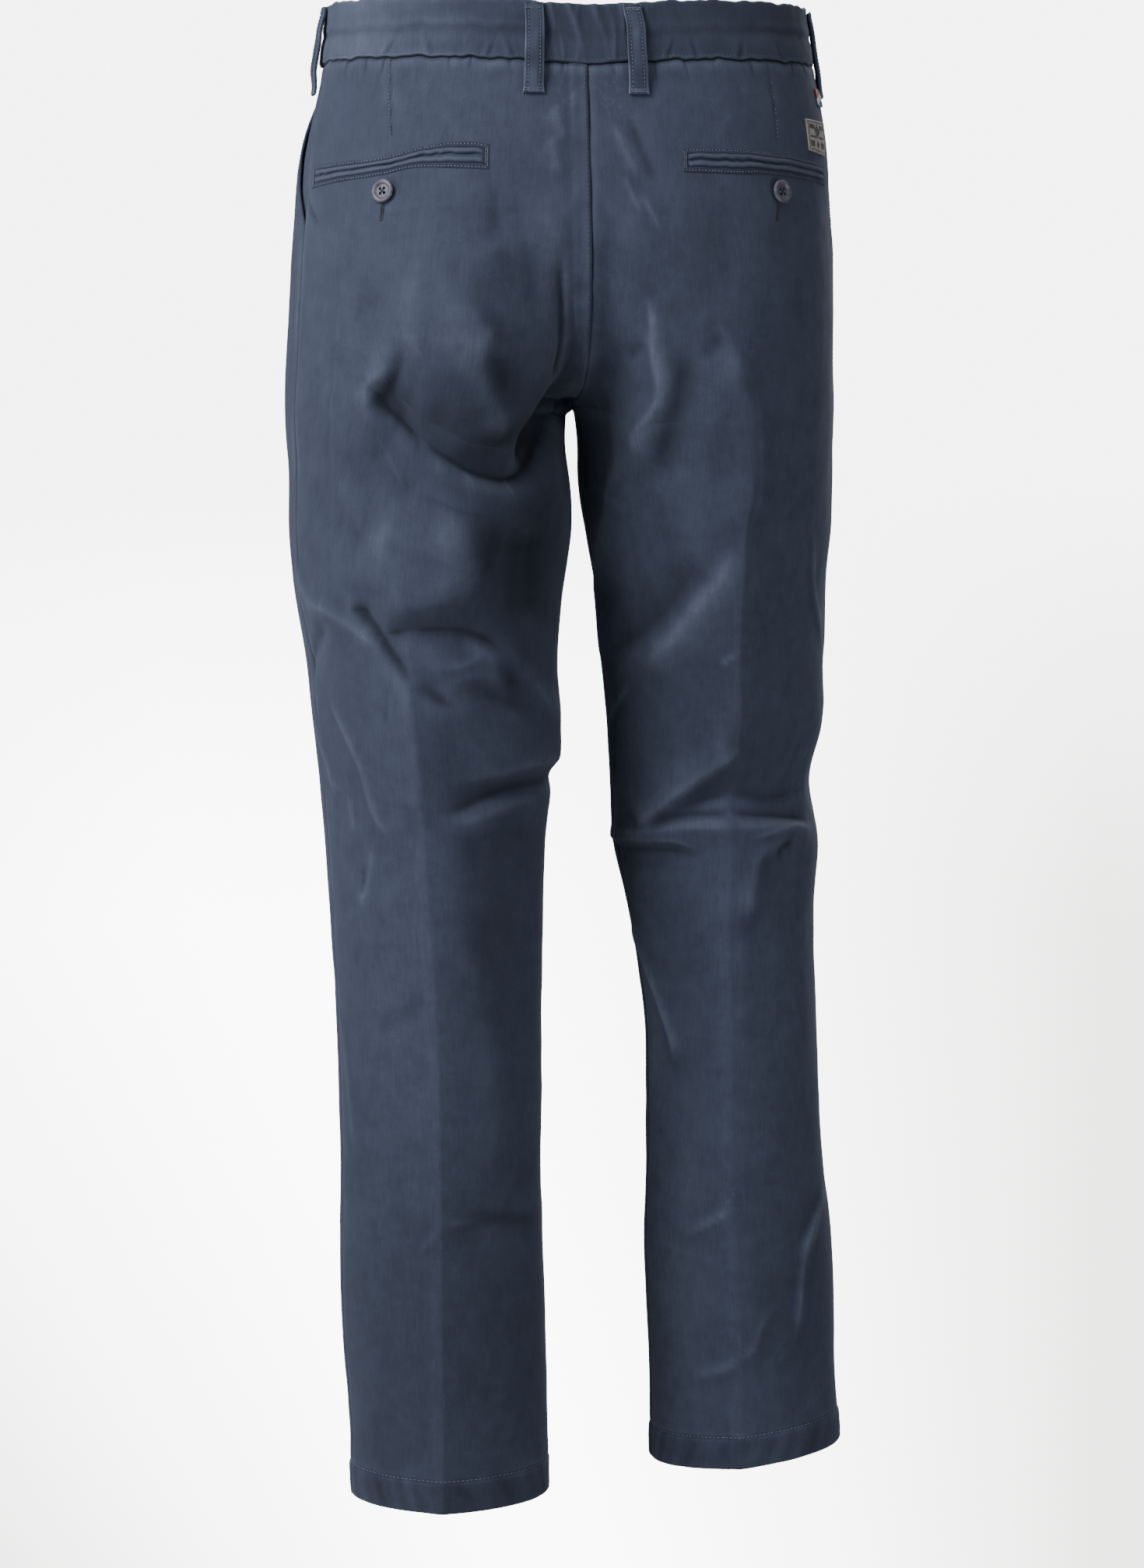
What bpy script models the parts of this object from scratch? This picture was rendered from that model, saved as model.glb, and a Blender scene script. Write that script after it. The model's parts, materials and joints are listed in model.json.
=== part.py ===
"""A pair of worn chino trousers, each cut and sewn piece a closed solid of its own.

Metres, +Z up. The wearer faces -Y and the wearer's left side is +X. The origin is
the centre of the waist opening, half way up the waistband. The left leg stands
straight, and the right leg is a step forward with its knee a little bent.

A place on the cloth is given by its side, its turn round the leg and its height.
The turn is 0 on the side seam, 1 on the pressed back crease and 2 on the centre
back seam or the inseam; the front counts -1 on its crease and -2 on its far edge.
"""

import math

import bmesh
import bpy
import numpy as np
from mathutils import Matrix, Vector

# ---------------------------------------------------------------- driving sizes
MM = 0.001
WAISTBAND_HEIGHT = 38 * MM
WAIST_TOP = WAISTBAND_HEIGHT / 2
WAIST_SEAM = -WAISTBAND_HEIGHT / 2
CENTRE_BACK_DIP = 6 * MM
CROTCH = -0.255
CROTCH_SHIFT = -3 * MM
SEAT_CURVE_TOP = {"back": -0.100, "front": -0.140}
SEAT_CURVE_START = 1.15
LEG_FORM_TOP = -0.080
LEG_FORM_FULL = -0.310

CLOTH = 1.5 * MM
HEM_CLOTH = 2.4 * MM
BAND_CLOTH = 2.6 * MM
SEAM_GAP = 0.3 * MM

# ---------------------------------------------------------------- section tables
TORSO_COLUMNS = ("height", "left", "right", "front", "back", "seat")
TORSO = (
    (0.019, 0.160, 0.160, -0.103, 0.098, 0.000),
    (0.000, 0.1615, 0.162, -0.104, 0.101, 0.000),
    (-0.020, 0.165, 0.165, -0.106, 0.104, 0.001),
    (-0.047, 0.1715, 0.171, -0.109, 0.110, 0.002),
    (-0.088, 0.180, 0.1765, -0.114, 0.118, 0.005),
    (-0.119, 0.183, 0.1765, -0.116, 0.122, 0.009),
    (-0.150, 0.1855, 0.178, -0.117, 0.124, 0.011),
    (-0.181, 0.187, 0.179, -0.117, 0.125, 0.011),
    (-0.213, 0.188, 0.179, -0.115, 0.123, 0.009),
    (-0.254, 0.190, 0.181, -0.111, 0.115, 0.005),
    (-0.320, 0.188, 0.184, -0.106, 0.102, 0.000),
)

LEG_COLUMNS = ("height", "outer", "inner", "front", "back", "crease")
LEGS = {
    "left": (
        (0.000, 0.1615, -0.003, -0.104, 0.106, 80),
        (-0.088, 0.180, -0.003, -0.114, 0.124, 80),
        (-0.150, 0.186, -0.003, -0.116, 0.132, 80),
        (-0.205, 0.189, -0.003, -0.114, 0.130, 80),
        (-0.254, 0.190, -0.003, -0.110, 0.121, 79),
        (-0.286, 0.188, -0.004, -0.107, 0.109, 78),
        (-0.328, 0.188, -0.003, -0.105, 0.099, 77),
        (-0.370, 0.184, 0.003, -0.102, 0.092, 76),
        (-0.412, 0.177, 0.006, -0.096, 0.084, 75),
        (-0.454, 0.172, 0.005, -0.089, 0.077, 76),
        (-0.496, 0.168, 0.010, -0.080, 0.073, 78),
        (-0.539, 0.165, 0.015, -0.072, 0.073, 80),
        (-0.602, 0.161, 0.018, -0.062, 0.077, 82),
        (-0.687, 0.158, 0.019, -0.054, 0.078, 84),
        (-0.773, 0.157, 0.020, -0.048, 0.075, 85),
        (-0.860, 0.156, 0.017, -0.045, 0.070, 84),
        (-0.947, 0.151, 0.015, -0.043, 0.066, 82),
        (-1.000, 0.150, 0.014, -0.042, 0.063, 81),
    ),
    "right": (
        (0.000, 0.162, 0.003, -0.104, 0.106, 82),
        (-0.088, 0.1765, 0.003, -0.114, 0.124, 82),
        (-0.150, 0.178, 0.003, -0.116, 0.130, 82),
        (-0.205, 0.179, 0.003, -0.116, 0.126, 82),
        (-0.255, 0.181, 0.004, -0.115, 0.112, 82),
        (-0.287, 0.182, 0.008, -0.116, 0.097, 81),
        (-0.329, 0.183, 0.016, -0.119, 0.081, 85),
        (-0.373, 0.182, 0.025, -0.124, 0.066, 87),
        (-0.416, 0.184, 0.030, -0.130, 0.048, 88),
        (-0.461, 0.186, 0.036, -0.138, 0.030, 88),
        (-0.506, 0.180, 0.040, -0.143, 0.013, 89),
        (-0.551, 0.186, 0.042, -0.141, 0.012, 92),
        (-0.596, 0.182, 0.052, -0.134, 0.013, 96),
        (-0.663, 0.184, 0.062, -0.126, 0.010, 99),
        (-0.753, 0.188, 0.065, -0.121, 0.006, 101),
        (-0.843, 0.197, 0.064, -0.119, 0.000, 99),
        (-0.934, 0.201, 0.068, -0.118, -0.004, 99),
        (-1.000, 0.205, 0.068, -0.117, -0.006, 101),
    ),
}

SEAM_COLUMNS = ("height", "side_seam", "inseam", "quarter")
SEAMS = (
    (0.000, 12, 180, 0.110),
    (-0.100, 14, 180, 0.130),
    (-0.200, 16, 180, 0.145),
    (-0.300, 16, 178, 0.152),
    (-0.400, 14, 177, 0.140),
    (-0.500, 11, 176, 0.118),
    (-0.650, 9, 176, 0.106),
    (-1.000, 8, 176, 0.098),
)

# ---------------------------------------------------------------- the form


def read_column(table, columns, name, heights):
    """A smooth curve through one column of a table, read at these heights."""
    rows = np.array(table, float)[::-1]
    at, value = rows[:, 0], rows[:, columns.index(name)]
    slope = np.gradient(value, at)
    heights = np.clip(heights, at[0], at[-1])
    i = np.clip(np.searchsorted(at, heights) - 1, 0, len(at) - 2)
    span = at[i + 1] - at[i]
    f = (heights - at[i]) / span
    return (
        value[i] * (1 + 2 * f) * (1 - f) ** 2
        + slope[i] * span * f * (1 - f) ** 2
        + value[i + 1] * f * f * (3 - 2 * f)
        + slope[i + 1] * span * f * f * (f - 1)
    )


def ease(value, start, end):
    """0 before start, 1 after end, and a smooth step between."""
    f = np.clip((value - start) / (end - start), 0, 1)
    return f * f * (3 - 2 * f)


def power(value, exponent):
    return np.sign(value) * np.abs(value) ** exponent


TORSO_CREASE_ANGLE = 60
TORSO_ROUNDNESS = 0.86
SEAT_ANGLE = 62
SEAT_SPREAD = 24


def torso_section(side, turn, height):
    """The section of the seat and hips, as if it had no legs."""
    half_width = read_column(TORSO, TORSO_COLUMNS, side, height)
    front = read_column(TORSO, TORSO_COLUMNS, "front", height)
    back = read_column(TORSO, TORSO_COLUMNS, "back", height)
    seat = read_column(TORSO, TORSO_COLUMNS, "seat", height)
    side_seam = read_column(SEAMS, SEAM_COLUMNS, "side_seam", height)
    stops = (-90 + 0 * side_seam, -TORSO_CREASE_ANGLE + 0 * side_seam, side_seam,
             TORSO_CREASE_ANGLE + 0 * side_seam, 90 + 0 * side_seam)
    angle = np.radians(between_stops(turn, stops))
    middle = (front + back) / 2
    deep = np.where(angle > 0, back - middle, middle - front)
    swell = seat * np.exp(-(((np.degrees(angle) - SEAT_ANGLE) / SEAT_SPREAD) ** 2))
    x = half_width * power(np.cos(angle), TORSO_ROUNDNESS)
    y = middle + deep * power(np.sin(angle), TORSO_ROUNDNESS) + swell
    return x, y


def between_stops(turn, stops):
    """The angle at a turn, with one stop each for the turns -2, -1, 0, 1 and 2."""
    turn = np.clip(turn, -2, 2)
    low = np.clip(np.floor(turn).astype(int) + 2, 0, 3)
    f = turn + 2 - low
    stops = np.array([s + 0 * turn for s in stops])
    here = np.take_along_axis(stops, low[None], 0)[0]
    after = np.take_along_axis(stops, low[None] + 1, 0)[0]
    return here + (after - here) * f


def leg_section(side, turn, height):
    """The section of one leg, a closed ring."""
    table = LEGS[side]
    outer = read_column(table, LEG_COLUMNS, "outer", height)
    inner = read_column(table, LEG_COLUMNS, "inner", height)
    front = read_column(table, LEG_COLUMNS, "front", height)
    back = read_column(table, LEG_COLUMNS, "back", height)
    crease = read_column(table, LEG_COLUMNS, "crease", height)
    side_seam = read_column(SEAMS, SEAM_COLUMNS, "side_seam", height)
    inseam = read_column(SEAMS, SEAM_COLUMNS, "inseam", height)
    angle = np.radians(between_stops(
        turn, (inseam - 360, crease - 180, side_seam, crease, inseam)))
    x = (outer + inner) / 2 + (outer - inner) / 2 * np.cos(angle)
    y = (front + back) / 2 + (back - front) / 2 * np.sin(angle)
    return x, y


def leg_share(turn, height):
    """How much of the leg's section there is, and how much of the hips', 0 to 1."""
    smooth = ease(-height, -LEG_FORM_TOP, -LEG_FORM_FULL)
    top = np.where(turn > 0, SEAT_CURVE_TOP["back"], SEAT_CURVE_TOP["front"])
    down = np.clip((top - height) / (top - CROTCH), 0, 1)
    seat_curve = 1 - np.sqrt(np.clip(1 - down * down, 0, 1))
    at_edge = np.clip((np.abs(turn) - SEAT_CURVE_START) / (2 - SEAT_CURVE_START), 0, 1) ** 3
    return smooth * (1 - at_edge) + seat_curve * at_edge


def base_form(side, turn, height):
    """The smooth outside of the cloth, before its creases and folds."""
    sign = 1 if side == "left" else -1
    share = leg_share(turn, height)
    torso_x, torso_y = torso_section(side, turn, height)
    leg_x, leg_y = leg_section(side, turn, height)
    centre = CROTCH_SHIFT * ease(-height, 0.10, 0.25)
    torso_x = sign * torso_x + centre * (np.abs(turn) / 2) ** 2
    x = torso_x * (1 - share) + sign * leg_x * share
    y = torso_y * (1 - share) + leg_y * share
    return np.stack([x, y, height + 0 * x], -1)


def outward(side, turn, height):
    """The unit normal of the smooth form, out of the cloth."""
    step = 1 * MM
    across = (base_form(side, turn + 0.02, height)
              - base_form(side, turn - 0.02, height))
    down = (base_form(side, turn, height - step)
            - base_form(side, turn, height + step))
    normal = np.cross(across, down)
    normal /= np.maximum(np.linalg.norm(normal, axis=-1, keepdims=True), 1e-12)
    return -normal if side == "left" else normal


# ---------------------------------------------------------------- creases and folds
# Each fold runs along a smooth path of (turn, height) places. It stands out by its
# relief, or sinks where that is negative, and fades over one width on the path's
# left hand (above, for a path that runs towards the inseam) and another on its right.
FOLD_COLUMNS = ("name", "relief", "left_width", "right_width", "path")
FOLDS = {
    "left": (
        ("roll under the seat", 10 * MM, 40 * MM, 17 * MM,
         ((0.55, -0.195), (0.85, -0.224), (1.15, -0.247), (1.45, -0.258), (1.85, -0.235))),
        ("hollow under the roll", -6 * MM, 8 * MM, 30 * MM,
         ((0.62, -0.225), (0.79, -0.250), (1.15, -0.284), (1.42, -0.297), (1.64, -0.278),
          (1.90, -0.250))),
        ("hollow beside the seat seam", -5 * MM, 16 * MM, 22 * MM,
         ((1.30, -0.250), (1.42, -0.215), (1.60, -0.180), (1.72, -0.140))),
        ("ridge above the knee", 4 * MM, 7 * MM, 30 * MM,
         ((0.05, -0.358), (0.30, -0.376), (0.60, -0.389), (0.98, -0.424))),
        ("valley above the knee", -5 * MM, 14 * MM, 7 * MM,
         ((0.42, -0.374), (0.62, -0.384), (0.89, -0.407), (1.18, -0.437))),
        ("arched valley", -3 * MM, 7 * MM, 12 * MM,
         ((0.85, -0.395), (1.05, -0.389), (1.28, -0.393), (1.38, -0.412), (1.36, -0.450))),
        ("knee pillow", 4 * MM, 18 * MM, 20 * MM, ((1.02, -0.405), (1.22, -0.412), (1.24, -0.44))),
        ("roll inside the knee", 5 * MM, 20 * MM, 8 * MM,
         ((1.12, -0.492), (1.43, -0.488), (1.82, -0.484), (2.20, -0.480))),
        ("valley inside the knee", -3 * MM, 7 * MM, 16 * MM,
         ((1.15, -0.508), (1.43, -0.502), (1.82, -0.499), (2.15, -0.498))),
        ("drag line at the knee", 2 * MM, 10 * MM, 12 * MM,
         ((0.36, -0.454), (0.52, -0.485), (0.66, -0.515), (0.72, -0.545))),
        ("front whisker", 3 * MM, 9 * MM, 11 * MM,
         ((-0.85, -0.175), (-1.35, -0.205), (-1.85, -0.235))),
        ("front thigh drag", 2.5 * MM, 12 * MM, 14 * MM,
         ((-1.85, -0.275), (-1.35, -0.315), (-0.75, -0.385))),
        ("front knee fold", 2.5 * MM, 10 * MM, 16 * MM,
         ((-1.70, -0.520), (-1.20, -0.505), (-0.60, -0.500))),
        ("front ankle break", -2.5 * MM, 12 * MM, 14 * MM,
         ((-1.60, -0.900), (-1.00, -0.915), (-0.45, -0.895))),
    ),
    "right": (
        ("seat ridge", 6 * MM, 13 * MM, 22 * MM,
         ((1.62, -0.320), (1.55, -0.278), (1.48, -0.250), (1.45, -0.228), (1.50, -0.190))),
        ("hollow inside the thigh", -4 * MM, 26 * MM, 20 * MM,
         ((1.82, -0.235), (1.78, -0.275), (1.80, -0.330))),
        ("thigh drag", 3.5 * MM, 18 * MM, 20 * MM,
         ((1.02, -0.330), (1.21, -0.372), (1.50, -0.425))),
        ("ridge above the knee", 5 * MM, 12 * MM, 13 * MM,
         ((0.98, -0.470), (1.14, -0.484), (1.34, -0.505), (1.66, -0.532))),
        ("hollow of the knee", -5.5 * MM, 20 * MM, 6 * MM,
         ((0.28, -0.508), (0.65, -0.516), (1.00, -0.517), (1.38, -0.524))),
        ("pleat across the knee", 4 * MM, 6 * MM, 9 * MM,
         ((0.20, -0.532), (0.55, -0.537), (1.05, -0.534), (1.50, -0.540), (2.10, -0.545))),
        ("valley under the pleat", -3 * MM, 5 * MM, 20 * MM,
         ((1.22, -0.552), (1.59, -0.552), (2.10, -0.556))),
        ("kink under the pleat", -3 * MM, 7 * MM, 14 * MM,
         ((0.45, -0.541), (0.62, -0.544), (0.85, -0.562))),
        ("calf line", 2.5 * MM, 9 * MM, 12 * MM,
         ((2.00, -0.598), (1.84, -0.621), (1.62, -0.663), (1.52, -0.710))),
        ("shin drag", -2.5 * MM, 12 * MM, 16 * MM,
         ((0.20, -0.792), (0.45, -0.818), (0.62, -0.850))),
        ("front whisker", 3 * MM, 9 * MM, 11 * MM,
         ((-0.90, -0.165), (-1.40, -0.200), (-1.85, -0.235))),
        ("front thigh drag", 3 * MM, 14 * MM, 14 * MM,
         ((-1.80, -0.290), (-1.30, -0.340), (-0.80, -0.420))),
        ("front knee fold", 2 * MM, 10 * MM, 18 * MM,
         ((-1.60, -0.570), (-1.05, -0.585), (-0.50, -0.570))),
        ("front ankle break", -3 * MM, 12 * MM, 14 * MM,
         ((-1.60, -0.890), (-1.00, -0.905), (-0.40, -0.885))),
    ),
}
FOLD_FADE = 0.30
FOLD_LEAST_WIDTH = 11 * MM

# The pressed creases: the turn they lie on, and where they fade in, down the leg.
CREASE_RELIEF = 4 * MM
CREASE_WIDTH = 26 * MM
CREASES = {
    ("left", 1): (-0.36, -0.46),
    ("left", -1): (-0.12, -0.30),
    ("right", 1): (-0.20, -0.34),
    ("right", -1): (-0.12, -0.30),
}


def smooth_path(path, steps=6):
    """Points along a Catmull-Rom curve through a path's own points."""
    path = np.array(path, float)
    ends = np.vstack([2 * path[0] - path[1], path, 2 * path[-1] - path[-2]])
    points = []
    for before, here, after, beyond in zip(ends, ends[1:], ends[2:], ends[3:]):
        for f in np.arange(steps) / steps:
            points.append(0.5 * (2 * here + (after - before) * f
                                 + (2 * before - 5 * here + 4 * after - beyond) * f * f
                                 + (3 * here - before - 3 * after + beyond) * f ** 3))
    return np.vstack([points, path[-1:]])


def fold_relief(fold, turn, height, quarter):
    """How far one fold lifts the cloth at these places."""
    name, relief, left_width, right_width, path = fold
    line = smooth_path(path)
    scale = read_column(SEAMS, SEAM_COLUMNS, "quarter", line[:, 1])
    line = np.stack([line[:, 0] * scale, line[:, 1]], -1)
    x, y = turn * quarter, height
    best = np.full(x.shape, np.inf)
    side = np.zeros(x.shape)
    along = np.zeros(x.shape)
    lengths = np.linalg.norm(np.diff(line, axis=0), axis=1)
    start = np.concatenate([[0], np.cumsum(lengths)]) / lengths.sum()
    for k, (a, b) in enumerate(zip(line, line[1:])):
        run = b - a
        f = np.clip(((x - a[0]) * run[0] + (y - a[1]) * run[1]) / (run @ run), 0, 1)
        dx, dy = x - a[0] - f * run[0], y - a[1] - f * run[1]
        far = np.hypot(dx, dy)
        near = far < best
        best = np.where(near, far, best)
        side = np.where(near, run[0] * dy - run[1] * dx, side)
        along = np.where(near, start[k] + f * (start[k + 1] - start[k]), along)
    width = np.maximum(np.where(side > 0, left_width, right_width), FOLD_LEAST_WIDTH)
    fade = ease(along, 0, FOLD_FADE) * ease(1 - along, 0, FOLD_FADE)
    return relief * np.exp(-((best / width) ** 2)) * fade


def relief(side, turn, height):
    """How far the creases and folds lift the cloth off the smooth form."""
    quarter = read_column(SEAMS, SEAM_COLUMNS, "quarter", height)
    lift = np.zeros(np.broadcast(turn, height).shape)
    turn, height = turn + lift, height + lift
    for (leg, at), (fade_in, full) in CREASES.items():
        if leg == side:
            away = np.abs(turn - at) * quarter
            lift += CREASE_RELIEF * np.exp(-away / CREASE_WIDTH) * ease(-height, -fade_in, -full)
    below_crotch = height < CROTCH
    for fold in FOLDS[side]:
        lift += fold_relief(fold, turn, height, quarter)
        lift += fold_relief(fold, turn + 4, height, quarter) * below_crotch
        lift += fold_relief(fold, turn - 4, height, quarter) * below_crotch
    return lift * ease(-height, -WAIST_SEAM, 0.06)


def cloth_form(side, turn, height, lift=0.0):
    """The outside of the cloth with its creases and folds, or a place off it."""
    amount = relief(side, turn, height) + lift
    return base_form(side, turn, height) + outward(side, turn, height) * amount[..., None]


def cloth_normal(side, turn, height):
    """The unit normal of the cloth with its folds."""
    step = 1 * MM
    across = cloth_form(side, turn + 0.02, height) - cloth_form(side, turn - 0.02, height)
    down = cloth_form(side, turn, height - step) - cloth_form(side, turn, height + step)
    normal = np.cross(across, down)
    normal /= np.maximum(np.linalg.norm(normal, axis=-1, keepdims=True), 1e-12)
    return -normal if side == "left" else normal


# ---------------------------------------------------------------- seams and edges
HEMS = {"left": (-0.989, 0.000), "right": (-0.9865, 0.0055)}
HEM_FADE_TOP = -0.800
MOUTH_END = -0.127
MOUTH_TURN = -0.50
FLY_LIFT = 2.9 * MM
FLY_LAP = 4 * MM
FLY_END = -0.200


def waist_dip(side, turn):
    """How far the waistband and its seam drop towards the centre back."""
    return -CENTRE_BACK_DIP * np.clip(turn / 2, 0, 1) ** 3


def hem_height(side, turn):
    middle, slope = HEMS[side]
    return middle + slope * np.cos(turn * math.pi / 2)


def on_the_cloth(side, turn, row):
    """The height of a row of the cloth, which follows the waist seam and the hem."""
    hem = HEMS[side][0]
    down = waist_dip(side, turn) * (1 - ease(-row, -WAIST_SEAM, 0.16))
    up = (hem_height(side, turn) - hem) * ease(-row, -HEM_FADE_TOP, -hem)
    return row + down + up


def mouth_turn(row):
    """The turn of the slanted hand pocket's edge, 0 below its end."""
    return MOUTH_TURN * np.clip((row - MOUTH_END) / (WAIST_SEAM - MOUTH_END), 0, 1)


def fly_share(side, turn, row):
    """1 on the left front's own edge, which laps over the right one."""
    if side == "right":
        return 0 * turn
    return ease(-turn, 1.72, 1.86) * (1 - ease(-row, -FLY_END - 0.03, -FLY_END))


# Rows of the mesh: from one height to the next, this many steps.
ROW_SPANS = ((WAIST_SEAM, 2), (-0.075, 3), (-0.135, 4), (-0.200, 0))
CROTCH_ANGLES = (40, 50, 60, 70, 80, 90)
ROW_SPANS_BELOW = ((CROTCH, 6), (-0.320, 3), (-0.365, 9), (-0.455, 3), (-0.490, 7),
                   (-0.565, 4), (-0.700, 4), (-0.860, 3))
HEM_STITCH = 23 * MM


def row_heights(side):
    hem = HEMS[side][0]
    rows = []
    for (start, steps), (end, _) in zip(ROW_SPANS, ROW_SPANS[1:]):
        rows += list(np.linspace(start, end, steps, endpoint=False))
    top = SEAT_CURVE_TOP["back"]
    rows += [top - (top - CROTCH) * math.sin(math.radians(a)) for a in CROTCH_ANGLES[:-1]]
    ends = ROW_SPANS_BELOW[1:] + ((hem + HEM_STITCH, 0),)
    for (start, steps), (end, _) in zip(ROW_SPANS_BELOW, ends):
        rows += list(np.linspace(start, end, steps, endpoint=False))
    rows += [hem + HEM_STITCH, hem + HEM_STITCH - 1.5 * MM, hem]
    return np.array(rows)


# ---------------------------------------------------------------- making solids
def clear_scene():
    for old in list(bpy.data.objects):
        bpy.data.objects.remove(old)


def plain_material(name, colour, roughness, metallic=0.0):
    material = bpy.data.materials.new(name)
    material.use_nodes = True
    shader = material.node_tree.nodes["Principled BSDF"]
    shader.inputs["Base Color"].default_value = (*colour, 1)
    shader.inputs["Roughness"].default_value = roughness
    shader.inputs["Metallic"].default_value = metallic
    material.diffuse_color = (*colour, 1)
    return material


def add_object(name, bm, material):
    mesh = bpy.data.meshes.new(name)
    bm.to_mesh(mesh)
    bm.free()
    mesh.materials.append(material)
    mesh.shade_smooth()
    mesh.set_sharp_from_angle(angle=math.radians(40))
    thing = bpy.data.objects.new(name, mesh)
    bpy.data.collections["chino trousers"].objects.link(thing)
    return thing


def wall(name, material, outside, inside):
    """A closed sheet between two grids of points of the same size, outside first."""
    rows, columns = outside.shape[:2]
    bm = bmesh.new()
    bmesh.ops.create_grid(bm, x_segments=columns - 1, y_segments=rows - 1, size=0.5)
    place = {}
    for v in bm.verts:
        place[v] = (round((0.5 - v.co.y) * (rows - 1)), round((v.co.x + 0.5) * (columns - 1)))
    for v, at in place.items():
        v.co = outside[at]
    bm.normal_update()
    middle = bm.faces[:][len(bm.faces) // 2]
    at = place[middle.verts[0]]
    if middle.normal.dot(Vector(outside[at] - inside[at])) < 0:
        bmesh.ops.reverse_faces(bm, faces=bm.faces[:])
    skin = bm.faces[:]
    grown = bmesh.ops.extrude_face_region(bm, geom=skin, use_keep_orig=True)
    originals = {tuple(v.co): at for v, at in place.items()}
    for v in grown["geom"]:
        if isinstance(v, bmesh.types.BMVert):
            v.co = inside[originals[tuple(v.co)]]
    bmesh.ops.recalc_face_normals(bm, faces=bm.faces[:])
    return add_object(name, bm, material)


def edge_gap(side, turn, row):
    """Half a seam's gap, as a turn."""
    quarter = read_column(SEAMS, SEAM_COLUMNS, "quarter", row)
    return SEAM_GAP / 2 / quarter


def panel_points(side, turn, row, offset):
    """Places on a panel's cloth, lifted off its outside by the offset."""
    height = on_the_cloth(side, turn, row)
    fly = fly_share(side, turn, row)
    points = cloth_form(side, turn, height)
    normal = cloth_normal(side, turn, height)
    sign = 1 if side == "left" else -1
    at_centre = (np.abs(turn) > 1.99) & (height > CROTCH + 1e-6)
    normal[..., 0] = np.where(at_centre & (sign * normal[..., 0] > 0), 0, normal[..., 0])
    points = points + normal * (offset + FLY_LIFT * fly)[..., None]
    points[..., 0] += np.where(at_centre, sign * SEAM_GAP / 2, 0)
    lapped = (fly > 0.9) & (turn < -1.99) & (row > FLY_END + 0.07)
    points[..., 0] -= np.where(lapped, FLY_LAP, 0)
    return points


def panel(name, material, side, turns, rows):
    """One leg panel, with its hem turned up inside."""
    turn = np.array(turns)
    row = np.repeat(np.array(rows)[:, None], turn.shape[1], 1)
    hem = HEMS[side][0]
    thick = np.where(row <= hem + HEM_STITCH - 1 * MM, HEM_CLOTH, CLOTH)
    outside = panel_points(side, turn, row, 0 * row)
    inside = panel_points(side, turn, row, -thick)
    return wall(name, material, outside, inside)


# Columns of the mesh, as turns across a back panel and as shares across a front one.
BACK_TURNS = (0, 0.06, 0.15, 0.27, 0.41, 0.56, 0.71, 0.86, 1.0,
              1.14, 1.29, 1.45, 1.62, 1.81, 2.0)
FRONT_SIDE_SHARES = (0, 0.08, 0.22, 0.42, 0.68, 1.0)
FRONT_CENTRE_SHARES = (0, 0.28, 0.55, 0.75, 0.90, 1.0)


def make_panels(cloth):
    for side in ("left", "right"):
        rows = row_heights(side)
        rows[0] -= SEAM_GAP / 2
        gap = edge_gap(side, 0, rows)[:, None]
        share = np.array(BACK_TURNS)[None] / 2
        far_gap = np.where(rows[:, None] > CROTCH, 0, gap)
        panel(f"{side}_back", cloth, side, gap + (2 - far_gap - gap) * share, rows)

        mouth = np.minimum(mouth_turn(rows)[:, None], -gap)
        near = mouth + (-1 - mouth) * np.array(FRONT_SIDE_SHARES)[None]
        far = -1 + (-1 + far_gap) * np.array(FRONT_CENTRE_SHARES)[None]
        turns = np.concatenate([near, far[:, 1:]], 1)
        panel(f"{side}_front", cloth, side, turns, rows)


# ---------------------------------------------------------------- sewn-on pieces
def off_the_form(side, turn, height, offset):
    """Places off the smooth form, where there are no folds."""
    turn, height, offset = np.broadcast_arrays(turn, height, offset)
    place = base_form(side, turn, height)
    return place + outward(side, turn, height) * offset[..., None]


def turns_per_metre(side, turn, height):
    """How much turn there is in a metre of cloth, across it."""
    ends = base_form(side, np.array([turn - 0.05, turn + 0.05]), np.array([height] * 2))
    return 0.1 / np.linalg.norm(ends[1] - ends[0])


BAND_PROUD = 0.8 * MM
BAND_LAP = 0.036
BAND_LAP_RISE = 0.022
BAND_LAP_LIFT = 3.8 * MM
GATHER_TURN = 1.70
GATHER_RELIEF = 1.1 * MM
GATHER_WAVES = 4
BAND_SPANS = ((-BAND_LAP, 3), (-0.004, 6), (0.032, 26), (0.460, 24), (0.540, 28), (1.0, 0))


def band_side(around):
    """Side and turn at a share of the way round the waistband, from its front end."""
    on_left = (around >= 0) & (around <= 0.5)
    turn = np.where(on_left, -2 + 8 * around, np.where(around < 0, -2 - 8 * around, 2 - 8 * (around - 0.5)))
    return on_left, turn


def band_points(around, row, offset):
    around, row, offset = np.broadcast_arrays(around, row, offset)
    on_left, turn = band_side(around)
    gathers = ease(turn, GATHER_TURN - 0.04, GATHER_TURN + 0.1)
    wave = np.where(on_left, 2 - turn, turn - 2) / (2 - GATHER_TURN)
    lift = GATHER_RELIEF * gathers * np.sin(wave * GATHER_WAVES * math.pi + row / WAIST_TOP)
    lift = lift + BAND_LAP_LIFT * (1 - ease(around, 0, BAND_LAP_RISE))
    places = {
        side: off_the_form(side, turn, row + waist_dip(side, turn), offset + lift)
        for side in ("left", "right")
    }
    points = np.where(on_left[..., None], places["left"], places["right"])
    points[..., 0] -= np.where(around > 0.9999, SEAM_GAP, 0)
    return points


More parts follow.
